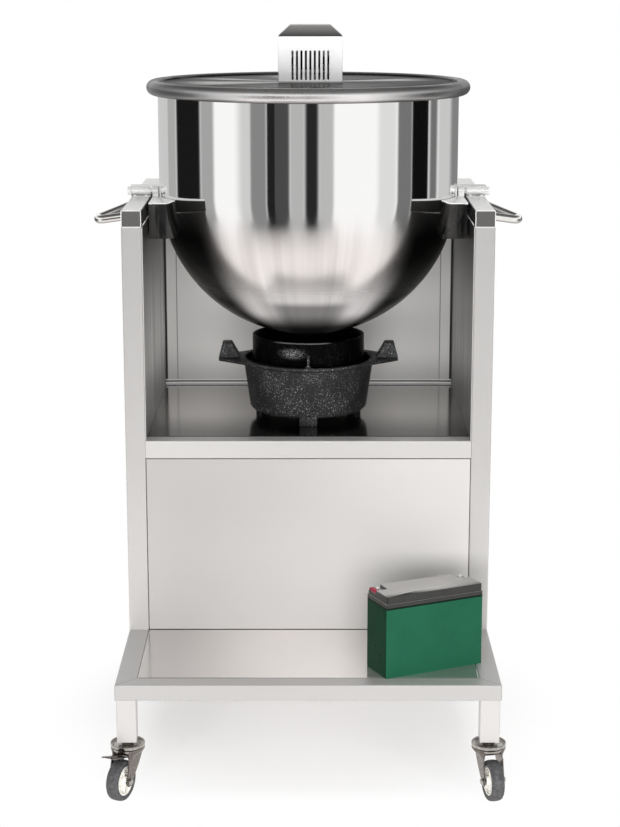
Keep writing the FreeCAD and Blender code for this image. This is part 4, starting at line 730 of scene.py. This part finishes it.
def with_modifiers(mesh, *modifiers):
    """The mesh with modifiers applied: each is (type, settings)."""
    holder = bpy.data.objects.new("holder", mesh)
    bpy.context.scene.collection.objects.link(holder)
    for kind, settings in modifiers:
        modifier = holder.modifiers.new(kind.lower(), kind)
        for key, value in settings.items():
            setattr(modifier, key, value)
    graph = bpy.context.evaluated_depsgraph_get()
    result = bpy.data.meshes.new_from_object(holder.evaluated_get(graph))
    name = mesh.name
    bpy.data.objects.remove(holder)
    bpy.data.meshes.remove(mesh)
    result.name = name
    return result


def pressed(mesh, thickness, edge):
    """Gives a surface the thickness of its sheet, with eased edges."""
    return with_modifiers(mesh, ("SOLIDIFY", {"thickness": thickness, "offset": 0.0}),
                          ("BEVEL", {"width": edge, "segments": 2, "limit_method": "ANGLE"}))


def rounded_block(name, size, middle, edge):
    """A block round a middle point, with its edges rounded."""
    bm = bmesh.new()
    bmesh.ops.create_cube(bm, size=1.0)
    bmesh.ops.scale(bm, vec=size, verts=bm.verts)
    bmesh.ops.translate(bm, vec=middle, verts=bm.verts)
    bmesh.ops.bevel(bm, geom=bm.edges, offset=edge, segments=2, profile=0.5, affect="EDGES")
    mesh = bpy.data.meshes.new(name)
    bm.to_mesh(mesh)
    bm.free()
    return mesh


def softened(node, name, width, material, body, segments=2, keep=None):
    """Stands for a node: the same solid with its sharp edges rounded, so that they catch the light."""
    bm = bmesh.new()
    bm.from_mesh(nodes[node].data)
    bmesh.ops.remove_doubles(bm, verts=bm.verts, dist=1e-6)
    bmesh.ops.dissolve_limit(bm, angle_limit=math.radians(0.4), verts=bm.verts, edges=bm.edges)
    sharp = [edge for edge in bm.edges
             if len(edge.link_faces) == 2 and edge.calc_face_angle(0.0) > FOLD_ANGLE
             and edge.calc_length() > 2.2 * width and (keep is None or keep(edge))]
    bmesh.ops.bevel(bm, geom=sharp, offset=width, offset_type="OFFSET", segments=segments, profile=0.5,
                    affect="EDGES", clamp_overlap=False)
    bmesh.ops.recalc_face_normals(bm, faces=bm.faces)
    mesh = bpy.data.meshes.new(name)
    bm.to_mesh(mesh)
    bm.free()
    return finish_mesh(mesh, material, body, [node], SMOOTH_ROUNDED)


# Bowl, rim and lid

BOWL_WALL = 0.002
RIM_CENTRE = (rim_high.x - rim_low.x) / 2 - RIM_TUBE


def bowl_piece():
    inner = BOWL_RADIUS - BOWL_WALL
    top = bowl_high.z
    rise = top - BOWL_CENTRE_Z
    profile = [(0, BOWL_CENTRE_Z - BOWL_RADIUS)]
    profile += arc(0, BOWL_CENTRE_Z, BOWL_RADIUS, -88.5, 0, 90)
    profile += [(BOWL_RADIUS, BOWL_CENTRE_Z + rise * step / 12) for step in range(1, 13)]
    profile += [(inner, BOWL_CENTRE_Z + rise * step / 12) for step in range(12, 0, -1)]
    profile += arc(0, BOWL_CENTRE_Z, inner, 0, -88.5, 60)
    profile += [(0, BOWL_CENTRE_Z - inner)]
    mesh = lathe_mesh("bowl_skin", profile, (0, AXIS_Y), 256, closed=False)
    return finish_mesh(mesh, "bowl", "bowl", ["bowl_shell"])


def rim_piece():
    mesh = lathe_mesh("rim_bead", arc(RIM_CENTRE, RIM_Z, RIM_TUBE, 0, 345, 23), (0, AXIS_Y), 256)
    return finish_mesh(mesh, "rim", "bowl", ["bowl_rim"], None)


def lid_piece():
    """The lid with a shallow ring pressed near its edge and a rounded step up to its hem."""
    top = lid_low.z + 0.002
    edge = lid_high.x
    hem = lid_high.z
    profile = [(0.016, lid_low.z), (0.016, top), (0.090, top), (0.180, top), (0.262, top),
               (0.264, top - 0.0006), (0.2665, top - 0.0006), (0.2685, top), (edge - 0.010, top),
               (edge - 0.0087, top + 0.0006), (edge - 0.0078, hem - 0.0005), (edge - 0.0068, hem),
               (edge - 0.0006, hem), (edge, hem - 0.0006),
               (edge, hem - 0.0018), (edge - 0.0006, hem - 0.002), (edge - 0.006, hem - 0.002),
               (edge - 0.0062, lid_low.z + 0.0004), (edge - 0.0068, lid_low.z)]
    mesh = lathe_mesh("lid_disc", profile, (0, AXIS_Y), 256)
    return finish_mesh(mesh, "lid", "lid", ["lid_plate"])


def cover_piece():
    """The motor cover with its folds rounded; the slots keep their cut edges."""
    def on_fold(edge):
        middle = (edge.verts[0].co + edge.verts[1].co) / 2
        at_side = min(abs(middle.x - cover_low.x), abs(middle.x - cover_high.x)) < 0.0002
        return (at_side or middle.z > cover_high.z - 0.0205) and edge.calc_length() > 0.004
    return softened("motor_cover", "motor_hood", 0.0011, "cover", "lid", 3, on_fold)


bowl_piece()
rim_piece()
lid_piece()
cover_piece()


# Lugs, bearings and battery

for side in ("left", "right"):
    softened(side + "_trunnion", side + "_lug", 0.0009, "lug", "bowl")
    softened(side + "_pivot_bearing", side + "_bearing", 0.0006, "lug", "frame")


TERMINAL_WELL = 0.007
MARK_SIZE = (0.0088, 0.0275, 0.0046)


def battery_pieces():
    softened("battery_case", "battery_box", 0.0016, "green", "battery", 3)
    softened("battery_lid", "battery_cap", 0.0011, "lid_black", "battery", 3)
    yaw = math.radians(BATTERY_YAW_DEG)
    corner = Matrix.Translation((case_low.x + BATTERY_WIDTH * math.sin(yaw), case_low.y, 0))
    place = corner @ Matrix.Rotation(yaw, 4, "Z")
    middle = (0.0063, BATTERY_WIDTH - 0.0165, cap_high.z - TERMINAL_WELL + MARK_SIZE[2] / 2)
    mesh = rounded_block("terminal_mark", MARK_SIZE, middle, 0.0008)
    mesh.transform(place)
    finish_mesh(mesh, "red", "battery", ())


battery_pieces()


# Casters. Heights in metres from the floor; each caster's own frame has X along its axle, trailing to -Y.

def joint_place(name):
    joint = [entry for entry in frame["joints"] if entry["name"] == name][0]
    return Vector(joint["pos_m"]), Vector(joint["axis"])


def caster_frame(corner):
    swivel, up = joint_place(corner + "_swivel_turn")
    wheel, axle = joint_place(corner + "_wheel_roll")
    axle.normalize()
    forward = Vector((0, 0, 1)).cross(axle)
    made = Matrix((axle, forward, (0, 0, 1))).transposed().to_4x4()
    return Matrix.Translation((swivel.x, swivel.y, 0)) @ made


RACE_RADIUS = 0.0315
LEG_FOOT_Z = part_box("legs")[0].z
RACE_LIP_Z = LEG_FOOT_Z - 0.005
DISH_Z = LEG_FOOT_Z - 0.009
CROWN_Z = LEG_FOOT_Z - 0.0126
FORK_TOP = LEG_FOOT_Z - 0.0176
AXLE_Z = 0.0375
TRAIL = 0.028
FORK_HALF = 0.017
FORK_SHEET = 0.0022
AXLE_FACE = FORK_HALF + FORK_SHEET
FORK_FRONT = 0.0235
FORK_TIP = 0.0100
FORK_EDGE = 0.0005
PEDAL_EDGE = 0.0006
HUB_RIBS = 6


def race_mesh():
    """The fixed race: a polished cup with a rolled lip, dished inside, with the stem's nut in it."""
    cup = [(0, DISH_Z - 0.003), (0.0290, DISH_Z - 0.003), (0.0305, DISH_Z - 0.0024),
           (0.0313, DISH_Z - 0.0012), (RACE_RADIUS, DISH_Z), (RACE_RADIUS, RACE_LIP_Z - 0.0016)]
    cup += arc(RACE_RADIUS - 0.0011, RACE_LIP_Z - 0.0011, 0.0011, 10, 170, 6)
    cup += [(0.0288, DISH_Z + 0.0012), (0.0270, DISH_Z + 0.0002), (0.0240, DISH_Z), (0, DISH_Z)]
    ring = made_of(lathe_mesh("race_cup", cup, segments=96), "bright")
    nut = [(0, DISH_Z), (0.0115, DISH_Z), (0.012, DISH_Z + 0.0006), (0.012, LEG_FOOT_Z - 0.0008),
           (0.011, LEG_FOOT_Z), (0.006, LEG_FOOT_Z), (0.006, LEG_FOOT_Z + 0.022), (0, LEG_FOOT_Z + 0.023)]
    return [ring, made_of(lathe_mesh("race_nut", nut, segments=6), "zinc")]


def fork_leg(side):
    """One leg of pressed sheet: it leaves the round crown, flattens, and ends round at the axle."""
    top = FORK_TOP + 0.0032
    rows = 18
    columns = 14
    outer = RACE_RADIUS - 0.0014
    heights = [top + (AXLE_Z - top) * (row / (rows - 5)) ** 1.35 for row in range(rows - 4)]
    heights += [AXLE_Z - FORK_TIP * math.sin(math.radians(angle)) for angle in (25, 45, 65, 78)]
    points = []
    for z in heights:
        down = (top - z) / (top - AXLE_Z)
        if z >= AXLE_Z:
            front = -0.0250 + (0.0250 - TRAIL - FORK_TIP) * down
            back = 0.0240 + (-TRAIL + FORK_TIP - 0.0240) * down ** 1.5
        else:
            half = math.sqrt(max(FORK_TIP * FORK_TIP - (AXLE_Z - z) ** 2, 0.0))
            front = -TRAIL - half
            back = -TRAIL + half
        flat = min(max((top - z) / 0.016, 0.0), 1.0)
        flat = flat * flat * (3 - 2 * flat)
        for column in range(columns):
            y = front + (back - front) * column / (columns - 1)
            round_x = math.sqrt(max(outer * outer - y * y, 0.0))
            x = round_x + (FORK_HALF + FORK_SHEET / 2 - round_x) * flat
            points.append((side * x, y, z))
    return pressed(mesh_from("fork_leg", points, grid_faces(len(heights), columns)), FORK_SHEET, FORK_EDGE)


def fork_brow():
    """The crown's turned-down front edge between the legs."""
    points = []
    for z, back in ((FORK_TOP + 0.0012, 0.0), (FORK_TOP - 0.0010, 0.0), (FORK_TOP - 0.0046, 0.0006)):
        for column in range(13):
            x = (-1 + column / 6) * (FORK_HALF + FORK_SHEET)
            points.append((x, -FORK_FRONT - 0.0004 + back + 5.0 * x * x, z))
    return pressed(mesh_from("fork_brow", points, grid_faces(3, 13)), FORK_SHEET, FORK_EDGE)


def cross_pin(name, radius, middle):
    """A pin across the fork, from the outside of one leg to the outside of the other."""
    profile = [(0, -AXLE_FACE), (radius, -AXLE_FACE), (radius, AXLE_FACE), (0, AXLE_FACE)]
    return along_axis(made_of(lathe_mesh(name, profile, segments=32), "zinc"), middle, (1, 0, 0))


def fork_meshes():
    crown = [(0, CROWN_Z), (0.0270, CROWN_Z), (0.0290, CROWN_Z - 0.0003), (0.0303, CROWN_Z - 0.0012),
             (0.0305, CROWN_Z - 0.0024), (0.0300, FORK_TOP + 0.0008), (0.0280, FORK_TOP), (0, FORK_TOP)]
    meshes = [made_of(lathe_mesh("fork_crown", crown, segments=96), "bright")]
    meshes += [made_of(fork_leg(side), "zinc") for side in (-1, 1)]
    meshes.append(made_of(fork_brow(), "zinc"))
    dome = [(0, 0.0050), (0.0024, 0.0048), (0.0044, 0.0041), (0.0056, 0.0028), (0.0060, 0.0014),
            (0.0065, 0.0012), (0.0065, 0), (0, 0)]
    for side in (-1, 1):
        head = made_of(lathe_mesh("axle_head", dome, segments=40), "bright")
        meshes.append(along_axis(head, (side * AXLE_FACE, -TRAIL, AXLE_Z), (side, 0, 0)))
    meshes.append(cross_pin("axle_bolt", 0.004, (0, -TRAIL, AXLE_Z)))
    return meshes


def tyre_mesh():
    half = [(0.0270, 0.0104), (0.0288, 0.0112), (0.0315, 0.0119), (0.0338, 0.0118), (0.0355, 0.0106),
            (0.0366, 0.0084), (0.0372, 0.0054), (0.03745, 0.0024)]
    profile = half + [(radius, -along) for radius, along in reversed(half)]
    return along_axis(lathe_mesh("tyre", profile, segments=160), (0, -TRAIL, AXLE_Z), (1, 0, 0))


def hub_mesh():
    """A moulded hub: outer ring, recessed web with six ribs, and the bearing boss."""
    half = [(0.00415, 0.0135), (0.0082, 0.0135), (0.009, 0.0129), (0.0092, 0.0026), (0.0222, 0.0022),
            (0.0229, 0.0030), (0.0231, 0.0099), (0.0236, 0.0104), (0.0266, 0.0104), (0.027, 0.0100)]
    profile = half + [(radius, -along) for radius, along in reversed(half)]
    meshes = [made_of(lathe_mesh("hub", profile, segments=96), "hub")]
    for index in range(HUB_RIBS):
        rib = rounded_block("hub_rib", (0.0142, 0.0018, 0.0150), (0.0161, 0, 0), 0.0004)
        rib.transform(Matrix.Rotation(2 * math.pi * index / HUB_RIBS, 4, "Z"))
        meshes.append(made_of(rib, "hub"))
    return along_axis(joined("hub", meshes), (0, -TRAIL, AXLE_Z), (1, 0, 0))


def pedal_mesh(pin_z):
    """The brake pedal: a pressed plate that widens outwards, with a turned-up toe, its pin and its shoe."""
    line = [(-0.0120, 0.0009, 0.0100), (-0.0220, 0.0036, 0.0104), (-0.0360, 0.0081, 0.0112),
            (-0.0500, 0.0126, 0.0122), (-0.0620, 0.0162, 0.0129), (-0.0700, 0.0182, 0.0130),
            (-0.0735, 0.0196, 0.0126), (-0.0748, 0.0212, 0.0116)]
    columns = 9
    points = []
    for y, rise, half in line:
        for column in range(columns):
            across = -1 + 2 * column / (columns - 1)
            points.append((half * across, y, pin_z + rise - 0.0012 * across ** 4))
    plate = mesh_from("pedal_plate", points, grid_faces(len(line), columns))
    plate = pressed(plate, FORK_SHEET, PEDAL_EDGE)
    pin = cross_pin("pedal_pin", 0.0025, (0, -0.013, pin_z))
    low = 2 * AXLE_Z + 0.004
    high = pin_z + 0.0045
    shoe = rounded_block("pedal_shoe", (0.013, 0.012, high - low), (0, -TRAIL, (high + low) / 2), PEDAL_EDGE)
    return joined("pedal", [made_of(plate, "zinc"), pin, made_of(shoe, "black")])


def casters():
    races = []
    for corner in ("front_left", "front_right", "rear_left", "rear_right"):
        place = caster_frame(corner)
        for mesh in race_mesh():
            mesh.transform(place)
            races.append(mesh)
        fork = joined(corner + "_yoke", fork_meshes())
        fork.transform(place)
        finish_mesh(fork, None, corner + "_swivel", [corner + "_fork"])
        tyre = tyre_mesh()
        tyre.transform(place)
        tyre.name = corner + "_tread"
        finish_mesh(tyre, "tyre", corner + "_wheel", [corner + "_tyre"])
        hub = hub_mesh()
        hub.transform(place)
        hub.name = corner + "_wheel_hub"
        finish_mesh(hub, None, corner + "_wheel", [corner + "_hub"])
        if corner + "_pedal" in nodes:
            pedal = pedal_mesh(joint_place(corner + "_brake_press")[0].z)
            pedal.transform(place)
            pedal.name = corner + "_brake_plate"
            finish_mesh(pedal, None, corner + "_brake", [corner + "_pedal"])
    finish_mesh(joined("caster_races", races), None, "frame", ["caster_stems"])


casters()


# Burner

softened("burner_body", "burner_pot", 0.0018, "iron", "frame", 3)
softened("burner_ring", "burner_shield", 0.0012, "iron_dark", "frame", 2)


# Floor, camera, light

def floor():
    """A pale round floor that fades into the white background but keeps the machine's shadow."""
    bm = bmesh.new()
    bmesh.ops.create_circle(bm, cap_ends=True, segments=96, radius=FLOOR_RADIUS)
    mesh = bpy.data.meshes.new("floor")
    bm.to_mesh(mesh)
    bm.free()
    piece = bpy.data.objects.new("floor", mesh)
    bpy.context.scene.collection.objects.link(piece)
    material = bpy.data.materials.new("floor_white")
    material.use_nodes = True
    w = Wiring(material.node_tree)
    rays = w.add("LightPath").outputs
    mirrored = w.clamp(w.math("ADD", rays["Is Glossy Ray"], rays["Is Transmission Ray"]))
    distance = w.add("VectorMath", {"operation": "LENGTH"}, {0: w.place()}).outputs["Value"]
    lift = w.add("Emission", None, {"Color": (1.0, 1.0, 1.0, 1.0),
                                    "Strength": w.math("MULTIPLY", rays["Is Camera Ray"], FLOOR_LIFT)})
    base = w.add("BsdfDiffuse", None, {"Color": (0.80, 0.80, 0.80, 1.0)})
    lifted = w.add("AddShader", None, {0: base.outputs[0], 1: lift.outputs[0]})
    white = w.add("Emission", None, {"Color": (1.0, 1.0, 1.0, 1.0), "Strength": 1.0})
    far = w.span(distance, FLOOR_WHITE_FROM, FLOOR_WHITE_TO, 0.0, 1.0)
    fade = w.math("MULTIPLY", far, rays["Is Camera Ray"])
    plain = w.add("MixShader", None, {0: fade, 1: lifted.outputs[0], 2: white.outputs[0]})
    bars = w.colours(w.span(distance, REFLECTION_PLAIN_TO, REFLECTION_STUDIO_FROM, 0.0, 1.0),
                     (0.93, 0.90, 0.885, 1.0),
                     studio_level(w, w.at("X"), w.math("SUBTRACT", w.at("Y"), AXIS_Y)))
    shine = w.add("Emission", None, {"Color": bars, "Strength": 1.0})
    surface_seen = w.add("MixShader", None, {0: mirrored, 1: plain.outputs[0], 2: shine.outputs[0]})
    clear = w.add("BsdfTransparent")
    gone = w.span(distance, FLOOR_CLEAR_FROM, FLOOR_RADIUS - 0.02, 0.0, 1.0)
    edge = w.add("MixShader", None, {0: gone, 1: surface_seen.outputs[0], 2: clear.outputs[0]})
    w.add("OutputMaterial", None, {"Surface": edge.outputs[0]})
    mesh.materials.append(material)


# Dark and grey uprights round the studio, seen only in reflections, as (middle, half width, softness,
# darkness), in degrees round from the front, positive to the right. The darkest one at an angle counts.
UPRIGHTS = [
    (-128.0, 8.0, 5.0, 0.58), (-104.5, 15.5, 5.0, 0.99), (-82.5, 6.7, 4.0, 0.61), (-46.0, 8.0, 9.0, 0.35),
    (-37.8, 6.8, 4.0, 0.75), (-27.8, 3.4, 1.5, 0.985), (-20.0, 6.5, 4.0, 0.93), (-8.2, 5.5, 3.0, 0.52),
    (2.6, 5.6, 5.0, 0.98), (13.4, 5.6, 3.0, 0.49), (62.0, 8.0, 6.0, 0.24), (78.0, 7.0, 3.0, 0.82),
    (94.0, 9.5, 3.0, 0.995), (110.0, 5.5, 6.0, 0.83), (158.0, 22.0, 20.0, 0.77),
]


def studio_level(w, x, y):
    """Brightness of the studio round about, in the direction x, y."""
    azimuth = w.math("DEGREES", w.math("ARCTAN2", x, w.math("MULTIPLY", y, -1.0)))
    level = w.span(w.math("ABSOLUTE", azimuth), 112.0, 120.0, 1.0, 0.60)
    for middle, half, soft, darkness in UPRIGHTS:
        away = w.math("ABSOLUTE", w.math("SUBTRACT", azimuth, middle))
        lit = w.span(away, half - soft / 2, half + soft / 2, 1.0 - darkness, 1.0)
        level = w.math("MINIMUM", level, lit)
    return level


def world():
    """White to the camera, plain for diffuse light, and a studio with dark uprights in reflections."""
    made = bpy.data.worlds.new("studio")
    bpy.context.scene.world = made
    made.use_nodes = True
    made.cycles.sampling_method = "NONE"
    w = Wiring(made.node_tree)
    x, y, z = w.parts(w.add("TexCoord").outputs["Generated"])
    level = w.colours(w.span(z, 0.0, 0.16, 0.0, 1.0), studio_level(w, x, y), (1.0, 1.0, 1.0, 1.0))
    sky = w.span(z, 0.28, 0.74, 1.0, 0.10)
    studio = w.colours(1.0, level, sky, "MULTIPLY")
    rays = w.add("LightPath").outputs
    reflected = w.clamp(w.math("ADD", rays["Is Glossy Ray"], rays["Is Transmission Ray"]))
    lit = w.colours(reflected, (AMBIENT, AMBIENT, AMBIENT, 1.0), studio)
    shown = w.colours(rays["Is Camera Ray"], lit, (1.0, 1.0, 1.0, 1.0))
    background = w.add("Background", None, {"Color": shown, "Strength": 1.0})
    w.add("OutputWorld", None, {"Surface": background.outputs[0]})


def lamp(name, place, target, size, watts):
    light = bpy.data.lights.new(name, "AREA")
    light.shape = "RECTANGLE"
    light.size = size[0]
    light.size_y = size[1]
    light.energy = watts
    piece = bpy.data.objects.new(name, light)
    bpy.context.scene.collection.objects.link(piece)
    piece.location = place
    piece.rotation_euler = (Vector(target) - Vector(place)).to_track_quat("-Z", "Y").to_euler()
    piece.visible_glossy = False


def camera():
    data = bpy.data.cameras.new("camera")
    data.lens = LENS_MM
    piece = bpy.data.objects.new("camera", data)
    bpy.context.scene.collection.objects.link(piece)
    piece.location = (CAMERA_X, TOWER_FRONT - CAMERA_DISTANCE, CAMERA_HEIGHT)
    piece.rotation_euler = (math.radians(90 - CAMERA_DOWN_DEG), 0, 0)
    bpy.context.scene.camera = piece


floor()
world()
lamp("key", (1.8, -3.8, 2.0), (0, 0, 0.8), (2.2, 2.0), 60)
lamp("fill", (-0.3, -3.6, 0.70), (0, 0, 0.8), (2.6, 0.9), 135)
lamp("top", (0.0, 0.2, 4.2), (0, 0, 0), (3.0, 3.0), 80)
camera()
bpy.context.scene.view_settings.view_transform = "Standard"
